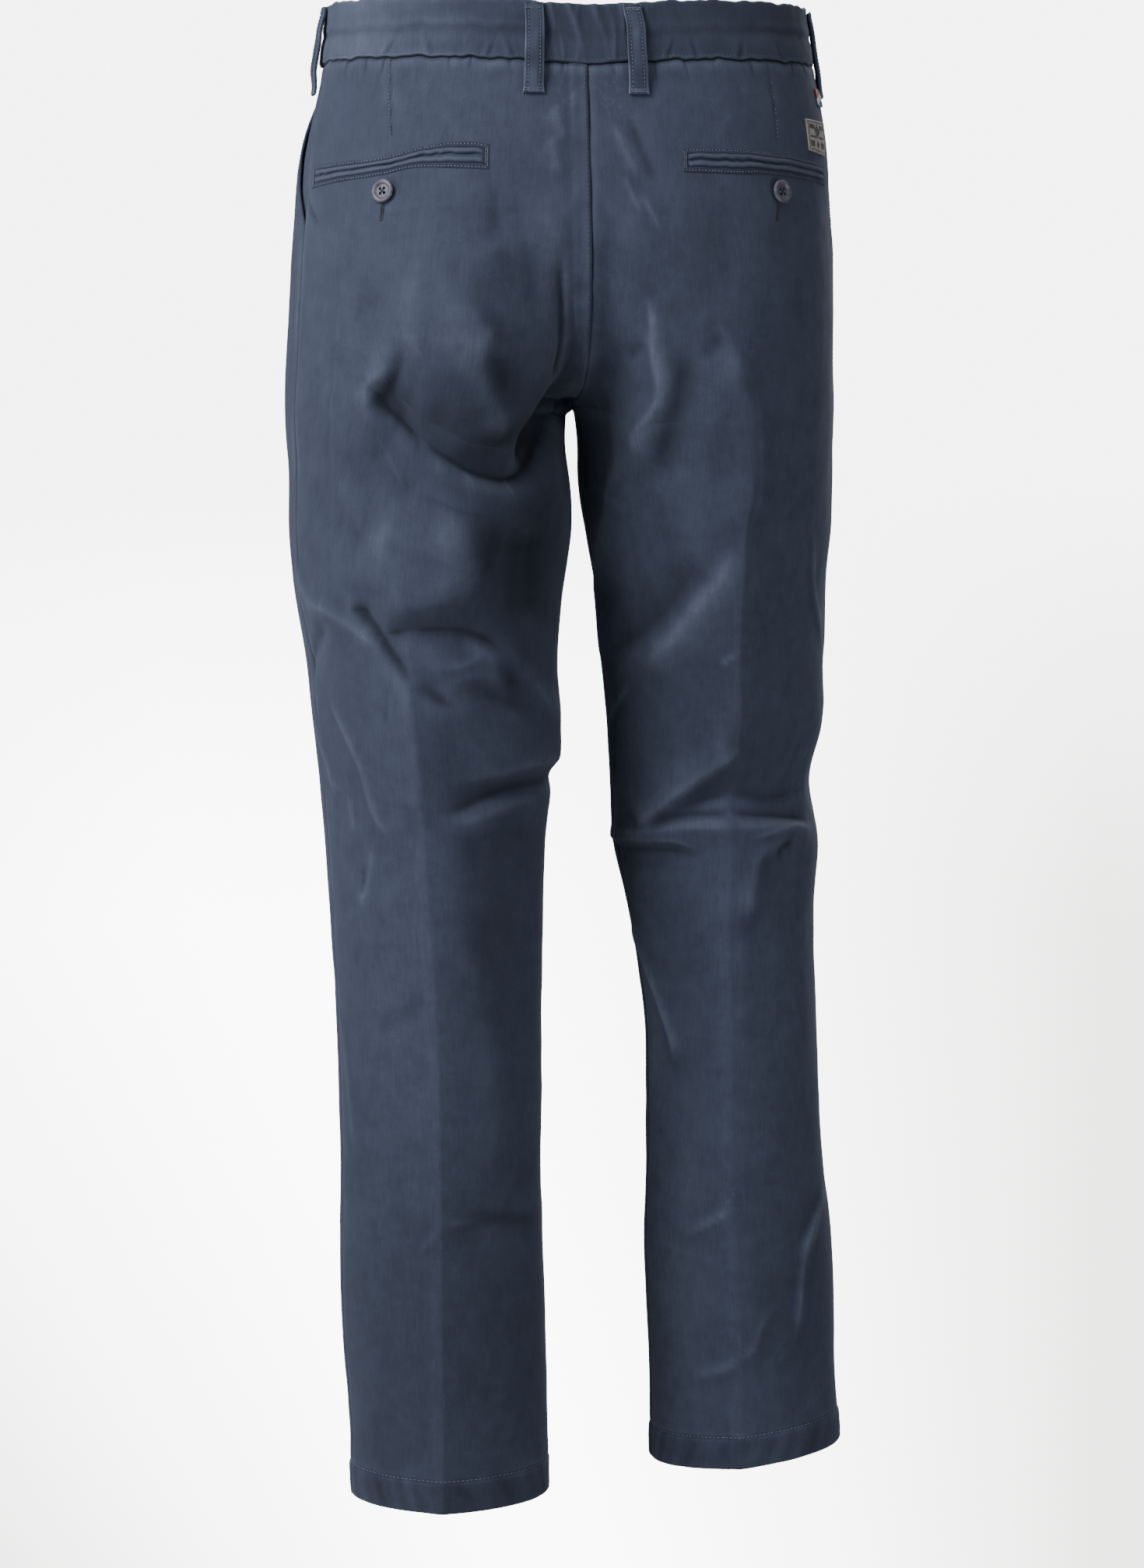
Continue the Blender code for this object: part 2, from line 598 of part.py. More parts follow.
def make_waistband(cloth):
    stops = []
    for (start, steps), (end, _) in zip(BAND_SPANS, BAND_SPANS[1:]):
        stops += list(np.linspace(start, end, steps, endpoint=False))
    around = np.array(stops + [1.0])[None]
    rows = np.array([WAIST_TOP, 0, WAIST_SEAM + SEAM_GAP / 2])[:, None]
    outside = band_points(around, rows, BAND_PROUD)
    inside = band_points(around, rows, BAND_PROUD - BAND_CLOTH)
    wall("waistband", cloth, outside, inside)


FACING_INSET = 3.3 * MM
FACING_UNDERLAP = 0.09
FACING_FLUSH_END = MOUTH_END + 6 * MM
FACING_END = -0.140


def facing_inset(turn, row):
    """How deep the pocket facing lies: flush at the side seam, deep under the front."""
    edge = mouth_turn(row - (FACING_FLUSH_END - MOUTH_END))
    return FACING_INSET * ease(-turn, 0, 1e-5 - 0.55 * edge)


def make_pocket_facings(cloth):
    """The hip pieces that show inside the slanted mouths of the hand pockets."""
    rows = np.linspace(WAIST_SEAM - SEAM_GAP / 2, FACING_FLUSH_END, 7)
    rows = np.append(rows, FACING_END)[:, None]
    share = np.array([0, 0.12, 0.28, 0.5, 0.75, 1])[None]
    for side in ("left", "right"):
        gap = edge_gap(side, 0, rows)
        turns = -gap + (mouth_turn(rows) - FACING_UNDERLAP + gap) * share
        height = on_the_cloth(side, turns, rows + 0 * turns)
        inset = facing_inset(turns, rows + 0 * turns)
        outside = off_the_form(side, turns, height, -inset)
        inside = off_the_form(side, turns, height, -inset - CLOTH)
        wall(f"pocket_facing_{side}", cloth, outside, inside)


LOOP_WIDTH = 12 * MM
LOOP_STRAP = 1.8 * MM
LOOP_TURNS = {"back": {"left": 1.69, "right": 1.72}, "side": {"left": -0.10, "right": -0.10},
              "front": {"left": -1.05, "right": -1.05}}
# Down the strap: the height, and how far its inner face stands off the smooth form.
LOOP_COLUMNS = ("height", "stand_off")
LOOP = (
    (0.0170, 1.2 * MM), (0.0125, 1.4 * MM), (0.0085, 2.7 * MM), (0.0040, 3.5 * MM),
    (-0.0060, 3.7 * MM), (-0.0180, 3.8 * MM), (-0.0255, 3.5 * MM), (-0.0315, 1.9 * MM),
    (-0.0370, 0.5 * MM), (-0.0430, 0.4 * MM),
)
LOOP_FOOT_TOP = -0.020


def loop_points(side, place, row, across, thickness):
    """Places on a belt loop's strap; the side loops' feet reach in to the facing."""
    middle = LOOP_TURNS[place][side]
    turn = middle + across * LOOP_WIDTH * turns_per_metre(side, middle, 0.0)
    turn, row = np.broadcast_arrays(turn, row)
    stand_off = read_column(LOOP, LOOP_COLUMNS, "stand_off", row)
    if place == "side":
        stand_off = stand_off - facing_inset(turn, row) * ease(-row, -LOOP_FOOT_TOP, 0.036)
    return off_the_form(side, turn, row + waist_dip(side, middle), stand_off + thickness)


def make_belt_loops(cloth):
    heights = [row[0] for row in LOOP]
    rows = np.array(heights)[:, None]
    across = np.array([-0.5, 0, 0.5])[None]
    for place in LOOP_TURNS:
        for side in ("left", "right"):
            outside = loop_points(side, place, rows, across, LOOP_STRAP)
            inside = loop_points(side, place, rows, across, 0)
            wall(f"belt_loop_{place}_{side}", cloth, outside, inside)


# The slit of each back pocket: its turn and height, from the side seam inwards.
POCKET_COLUMNS = ("turn", "height")
POCKETS = {
    "left": ((1.40, -0.0855), (1.08, -0.0835), (0.70, -0.0895), (0.10, -0.0960)),
    "right": ((1.43, -0.0862), (1.00, -0.0862), (0.71, -0.0872), (0.18, -0.0920)),
}
JET_HEIGHT = 7.5 * MM
JET_GAP = 0.7 * MM
JET_CLOTH = 1.4 * MM
JETS = {"upper": (JET_HEIGHT, 0.25 * MM), "lower": (-0.25 * MM, -JET_HEIGHT)}


def slit_height(side, turn):
    return read_column(POCKETS[side], POCKET_COLUMNS, "height", turn)


def make_back_pockets(cloth):
    """Two narrow jets along each pocket's slit."""
    for side in ("left", "right"):
        ends = (POCKETS[side][0][0], POCKETS[side][-1][0])
        turns = np.linspace(*ends, 17)[None]
        for name, (top, bottom) in JETS.items():
            heights = slit_height(side, turns) + np.array([top, bottom])[:, None]
            outside = off_the_form(side, turns, heights, JET_GAP + JET_CLOTH)
            inside = off_the_form(side, turns, heights, JET_GAP)
            wall(f"back_pocket_{side}_{name}_jet", cloth, outside, inside)


LABEL_THICKNESS = 0.9 * MM
LABEL_CORNERS = ((0.41, -0.056), (0.10, -0.057), (0.15, -0.080), (0.41, -0.077))
TAPE_CORNERS = ((0.14, -0.035), (0.01, -0.035), (0.01, -0.047), (0.14, -0.047))
TRIM_GAP = 0.4 * MM


def make_patch(name, material, side, corners, columns, thickness):
    """A flat patch between four corners on the cloth: top far, top near, bottom near, far."""
    top_far, top_near, low_near, low_far = np.array(corners)
    share = np.linspace(0, 1, columns + 1)[None, :, None]
    top = top_far + (top_near - top_far) * share
    low = low_far + (low_near - low_far) * share
    places = np.concatenate([top, (top + low) / 2, low])
    turn, height = places[..., 0], places[..., 1]
    outside = off_the_form(side, turn, height, TRIM_GAP + thickness)
    inside = off_the_form(side, turn, height, TRIM_GAP)
    wall(name, material, outside, inside)


BUTTON_RADIUS = {"back": 7.75 * MM, "waist": 8.5 * MM}
BUTTON_PLACES = {"left": (0.72, -0.1065), "right": (0.72, -0.1055)}
BUTTON_COLUMNS = ("radius share", "rise")
BUTTON_PROFILE = ((0, 2.0 * MM), (0.55, 2.0 * MM), (0.70, 2.6 * MM), (0.85, 2.9 * MM),
                  (1.0, 2.2 * MM), (1.0, 0.9 * MM), (0.9, 0.0), (0, 0.0))
BUTTON_STEPS = 20
HOLE_RADIUS = 0.9 * MM
HOLE_SPACING = 1.5 * MM
WAIST_BUTTON_AROUND = -0.016


def make_button(name, material, cutters, radius, place, normal):
    """A four-hole button, turned from its profile and pierced."""
    bm = bmesh.new()
    points = [bm.verts.new((share * radius, 0, rise)) for share, rise in BUTTON_PROFILE]
    for a, b in zip(points, points[1:]):
        bm.edges.new((a, b))
    button = add_object(name, bm, material)
    turned = button.modifiers.new("turned", "SCREW")
    turned.steps = turned.render_steps = BUTTON_STEPS
    turned.use_merge_vertices = True
    turned.merge_threshold = 0.00005
    bm = bmesh.new()
    for x in (-HOLE_SPACING, HOLE_SPACING):
        for y in (-HOLE_SPACING, HOLE_SPACING):
            bmesh.ops.create_cone(bm, cap_ends=True, segments=6, radius1=HOLE_RADIUS,
                                  radius2=HOLE_RADIUS, depth=10 * MM,
                                  matrix=Matrix.Translation((x, y, 0)))
    holes = add_object(f"{name}_holes", bm, material)
    bpy.data.collections["chino trousers"].objects.unlink(holes)
    cutters.objects.link(holes)
    holes.hide_render = True
    holes.display_type = "WIRE"
    cut = button.modifiers.new("holes", "BOOLEAN")
    cut.operation = "DIFFERENCE"
    cut.object = holes
    turn = Vector(normal).to_track_quat("Z", "Y").to_matrix().to_4x4()
    button.matrix_world = holes.matrix_world = Matrix.Translation(place) @ turn
    return button


def make_buttons(material, cutters):
    for side, (turn, height) in BUTTON_PLACES.items():
        at = off_the_form(side, np.array([turn]), np.array([height]), TRIM_GAP)[0]
        normal = outward(side, np.array([turn]), np.array([height]))[0]
        make_button(f"back_button_{side}", material, cutters, BUTTON_RADIUS["back"], at, normal)
    around = np.array([WAIST_BUTTON_AROUND])
    at = band_points(around, np.array([0.0]), BAND_PROUD + TRIM_GAP)[0]
    normal = outward("right", band_side(around)[1], np.array([0.0]))[0]
    make_button("waist_button", material, cutters, BUTTON_RADIUS["waist"], at, normal)


def make_part():
    clear_scene()
    collection = bpy.data.collections.new("chino trousers")
    cutters = bpy.data.collections.new("cutters")
    for group in (collection, cutters):
        bpy.context.scene.collection.children.link(group)
    cloth = plain_material("navy twill", (0.035, 0.048, 0.078), 0.85)
    canvas = plain_material("label canvas", (0.30, 0.26, 0.21), 0.9)
    ribbon = plain_material("striped tape", (0.35, 0.32, 0.40), 0.8)
    horn = plain_material("button plastic", (0.10, 0.09, 0.13), 0.4)
    make_panels(cloth)
    make_pocket_facings(cloth)
    make_waistband(cloth)
    make_belt_loops(cloth)
    make_back_pockets(cloth)
    make_patch("side_label", canvas, "right", LABEL_CORNERS, 7, LABEL_THICKNESS)
    make_patch("side_tape", ribbon, "right", TAPE_CORNERS, 3, LABEL_THICKNESS)
    make_buttons(horn, cutters)


make_part()
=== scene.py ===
# %% [markdown]
# # Navy chino trousers, as they are worn
# The trousers are four long panels, two for each leg, joined by a waistband. This
# lesson dresses the plain solids of the part: each panel is made again as a finer
# sheet on the same form, with the folds, creases and puckers that worn cotton has,
# and then come the loops, pockets, buttons, threads and finishes.

import json
import math

import bmesh
import bpy
import numpy as np
from mathutils import Matrix, Vector

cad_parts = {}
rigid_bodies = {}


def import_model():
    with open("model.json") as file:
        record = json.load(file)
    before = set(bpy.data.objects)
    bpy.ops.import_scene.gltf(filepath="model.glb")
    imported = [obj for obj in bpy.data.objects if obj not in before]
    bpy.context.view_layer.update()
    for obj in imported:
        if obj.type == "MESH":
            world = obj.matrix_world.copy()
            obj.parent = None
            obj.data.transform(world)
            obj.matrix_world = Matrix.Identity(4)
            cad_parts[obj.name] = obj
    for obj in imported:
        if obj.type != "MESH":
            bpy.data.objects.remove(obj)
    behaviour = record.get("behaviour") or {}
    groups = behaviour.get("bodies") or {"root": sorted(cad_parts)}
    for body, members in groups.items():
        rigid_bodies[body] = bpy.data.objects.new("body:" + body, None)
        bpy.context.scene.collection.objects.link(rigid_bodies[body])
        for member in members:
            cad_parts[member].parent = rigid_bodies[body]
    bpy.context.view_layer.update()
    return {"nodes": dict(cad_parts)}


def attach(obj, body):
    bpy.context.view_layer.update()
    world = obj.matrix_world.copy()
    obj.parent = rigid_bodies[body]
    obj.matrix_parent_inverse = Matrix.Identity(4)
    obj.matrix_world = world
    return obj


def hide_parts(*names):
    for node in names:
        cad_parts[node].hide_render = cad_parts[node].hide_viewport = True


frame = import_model()
MM = 0.001
print("solids:", len(frame["nodes"]))

# %% [markdown]
# ## The form of the cloth
# Every place on the trousers is named by its side, its turn round the leg and its
# height. The turn is 0 on the side seam, 1 on the back crease and 2 on the centre back
# or the inseam, and the front counts down to -2. Tables hold the sections: one for
# the hips and one for each leg. They are the solids' own tables, so the fine sheets lie
# where the solids are.

# %% Measures of the cut
WAIST_TOP = 19 * MM
WAIST_SEAM = -19 * MM
CENTRE_BACK_DIP = 6 * MM
CROTCH = -0.255
CROTCH_SHIFT = -3 * MM
SEAT_CURVE_TOP = {"back": -0.100, "front": -0.140}
SEAT_CURVE_START = 1.15
LEG_FORM_TOP = -0.080
LEG_FORM_FULL = -0.310
print("from the waistband's top to the crotch:", round(WAIST_TOP - CROTCH, 3), "m")

# %% [markdown]
# A table is text, with the name of each column on its first line. Lengths are in
# millimetres, but for the columns named as plain, which hold turns or degrees. A table
# is read between its rows with a smooth cubic curve, so that the cloth has no corner
# where two rows meet.

# %% Reading tables
PLAIN_COLUMNS = ("turn", "crease", "side_seam", "inseam")


def columns(text):
    """The columns of a table, by name, from its last row to its first."""
    lines = [line.split() for line in text.strip().splitlines()]
    return {name: np.array(values[::-1], float) / (1 if name in PLAIN_COLUMNS else 1000)
            for name, *values in zip(*lines)}


def read_column(table, name, places):
    """A smooth curve through one column of a table, read at places of its first column."""
    at, value = next(iter(table.values())), table[name]
    slope = np.gradient(value, at)
    places = np.clip(places, at[0], at[-1])
    i = np.clip(np.searchsorted(at, places) - 1, 0, len(at) - 2)
    span = at[i + 1] - at[i]
    f = (places - at[i]) / span
    return (
        value[i] * (1 + 2 * f) * (1 - f) ** 2
        + slope[i] * span * f * (1 - f) ** 2
        + value[i + 1] * f * f * (3 - 2 * f)
        + slope[i + 1] * span * f * f * (f - 1)
    )


# %% Section tables
TORSO = columns("""
height  left right front back seat
    19   160   160  -103   98    0
     0 161.5   162  -104  101    0
   -20   165   165  -106  104    1
   -47 171.5   171  -109  110    2
   -88   180 176.5  -114  118    5
  -119   183 176.5  -116  122    9
  -150 185.5   178  -117  124   11
  -181   187   179  -117  125   11
  -213   188   179  -115  123    9
  -254   190   181  -111  115    5
  -320   188   184  -106  102    0""")

LEGS = {
    "left": columns("""
height outer inner front back crease
     0 161.5    -3  -104  106     80
   -88   180    -3  -114  124     80
  -150   186    -3  -116  132     80
  -205   189    -3  -114  130     80
  -254   190    -3  -110  121     79
  -286   188    -4  -107  109     78
  -328   188    -3  -105   99     77
  -370   184     3  -102   92     76
  -412   177     6   -96   84     75
  -454   172     5   -89   77     76
  -496   168    10   -80   73     78
  -539   165    15   -72   73     80
  -602   161    18   -62   77     82
  -687   158    19   -54   78     84
  -773   157    20   -48   75     85
  -860   156    17   -45   70     84
  -947   151    15   -43   66     82
 -1000   150    14   -42   63     81"""),
    "right": columns("""
height outer inner front back crease
     0   162     3  -104  106     82
   -88 176.5     3  -114  124     82
  -150   178     3  -116  130     82
  -205   179     3  -116  126     82
  -255   181     4  -115  112     82
  -287   182     8  -116   97     81
  -329   183    16  -119   81     85
  -373   182    25  -124   66     87
  -416   184    30  -130   48     88
  -461   186    36  -138   30     88
  -506   180    40  -143   13     89
  -551   186    42  -141   12     92
  -596   182    52  -134   13     96
  -663   184    62  -126   10     99
  -753   188    65  -121    6    101
  -843   197    64  -119    0     99
  -934   201    68  -118   -4     99
 -1000   205    68  -117   -6    101"""),
}

SEAMS = columns("""
height side_seam inseam quarter
     0        12    180     110
  -100        14    180     130
  -200        16    180     145
  -300        16    178     152
  -400        14    177     140
  -500        11    176     118
  -650         9    176     106
 -1000         8    176      98""")
print("heights in the tables:", len(TORSO["height"]), "in the hips and",
      len(LEGS["left"]["height"]), "in each leg")

# %% Sections


def ease(value, start, end):
    """0 before start, 1 after end, and a smooth step between."""
    f = np.clip((value - start) / (end - start), 0, 1)
    return f * f * (3 - 2 * f)


def power(value, exponent):
    return np.sign(value) * np.abs(value) ** exponent


TORSO_CREASE_ANGLE = 60
TORSO_ROUNDNESS = 0.86
SEAT_ANGLE = 62
SEAT_SPREAD = 24


def torso_section(side, turn, height):
    """The section of the seat and hips, as if it had no legs."""
    half_width, front, back, seat = (
        read_column(TORSO, name, height) for name in (side, "front", "back", "seat"))
    side_seam = read_column(SEAMS, "side_seam", height)
    stops = (-90 + 0 * side_seam, -TORSO_CREASE_ANGLE + 0 * side_seam, side_seam,
             TORSO_CREASE_ANGLE + 0 * side_seam, 90 + 0 * side_seam)
    angle = np.radians(between_stops(turn, stops))
    middle = (front + back) / 2
    deep = np.where(angle > 0, back - middle, middle - front)
    swell = seat * np.exp(-(((np.degrees(angle) - SEAT_ANGLE) / SEAT_SPREAD) ** 2))
    x = half_width * power(np.cos(angle), TORSO_ROUNDNESS)
    y = middle + deep * power(np.sin(angle), TORSO_ROUNDNESS) + swell
    return x, y


def between_stops(turn, stops):
    """The angle at a turn, with one stop each for the turns -2, -1, 0, 1 and 2."""
    turn = np.clip(turn, -2, 2)
    low = np.clip(np.floor(turn).astype(int) + 2, 0, 3)
    f = turn + 2 - low
    stops = np.array([s + 0 * turn for s in stops])
    here = np.take_along_axis(stops, low[None], 0)[0]
    after = np.take_along_axis(stops, low[None] + 1, 0)[0]
    return here + (after - here) * f


def leg_section(side, turn, height):
    """The section of one leg, a closed ring."""
    outer, inner, front, back, crease = (
        read_column(LEGS[side], name, height)
        for name in ("outer", "inner", "front", "back", "crease"))
    side_seam, inseam = (read_column(SEAMS, name, height) for name in ("side_seam", "inseam"))
    angle = np.radians(between_stops(
        turn, (inseam - 360, crease - 180, side_seam, crease, inseam)))
    x = (outer + inner) / 2 + (outer - inner) / 2 * np.cos(angle)
    y = (front + back) / 2 + (back - front) / 2 * np.sin(angle)
    return x, y


def leg_share(turn, height):
    """How much of the leg's section there is, and how much of the hips', 0 to 1."""
    smooth = ease(-height, -LEG_FORM_TOP, -LEG_FORM_FULL)
    top = np.where(turn > 0, SEAT_CURVE_TOP["back"], SEAT_CURVE_TOP["front"])
    down = np.clip((top - height) / (top - CROTCH), 0, 1)
    seat_curve = 1 - np.sqrt(np.clip(1 - down * down, 0, 1))
    at_edge = np.clip((np.abs(turn) - SEAT_CURVE_START) / (2 - SEAT_CURVE_START), 0, 1) ** 3
    return smooth * (1 - at_edge) + seat_curve * at_edge


def base_form(side, turn, height):
    """The smooth outside of the cloth, before its creases and folds."""
    sign = 1 if side == "left" else -1
    share = leg_share(turn, height)
    torso_x, torso_y = torso_section(side, turn, height)
    leg_x, leg_y = leg_section(side, turn, height)
    centre = CROTCH_SHIFT * ease(-height, 0.10, 0.25)
    torso_x = sign * torso_x + centre * (np.abs(turn) / 2) ** 2
    x = torso_x * (1 - share) + sign * leg_x * share
    y = torso_y * (1 - share) + leg_y * share
    return np.stack([x, y, height + 0 * x], -1)


def outward(side, turn, height):
    """The unit normal of the smooth form, out of the cloth."""
    step = 1 * MM
    across = (base_form(side, turn + 0.02, height)
              - base_form(side, turn - 0.02, height))
    down = (base_form(side, turn, height - step)
            - base_form(side, turn, height + step))
    normal = np.cross(across, down)
    normal /= np.maximum(np.linalg.norm(normal, axis=-1, keepdims=True), 1e-12)
    return -normal if side == "left" else normal


print("side seam at the left hem:", base_form("left", np.zeros(1), np.full(1, -0.98))[0].round(3))

# %% [markdown]
# ## Folds and creases
# Worn cotton keeps two sorts of line. The pressed creases run down the middle of each
# leg. The folds come from the seat, the bent knee and the break at the ankle. Each one
# is a path over the cloth with a relief and two widths, so one flank can be steep and
# the other long. Its edge is soft with a sharpness of 2, and near 1 it is a crisp line.
#
# Each record has a name, then the relief, the width on the path's left hand, the width
# on its right (all in millimetres), the sharpness and the fade of the ends, and last
# the path: a turn and the millimetres below the origin for each of its points. The
# origin is in the middle of the waist, half way up the waistband.

# %% Fold table


def read_folds(text):
    """The folds of one leg, each as its numbers and then its path in turns and metres."""
    folds = []
    for record in text.split(";"):
        _, numbers, path = record.split(":")
        points = [place.split() for place in path.split(",")]
        folds.append((*map(float, numbers.split()),
                      [(float(turn), -float(down) / 1000) for turn, down in points]))
    return folds


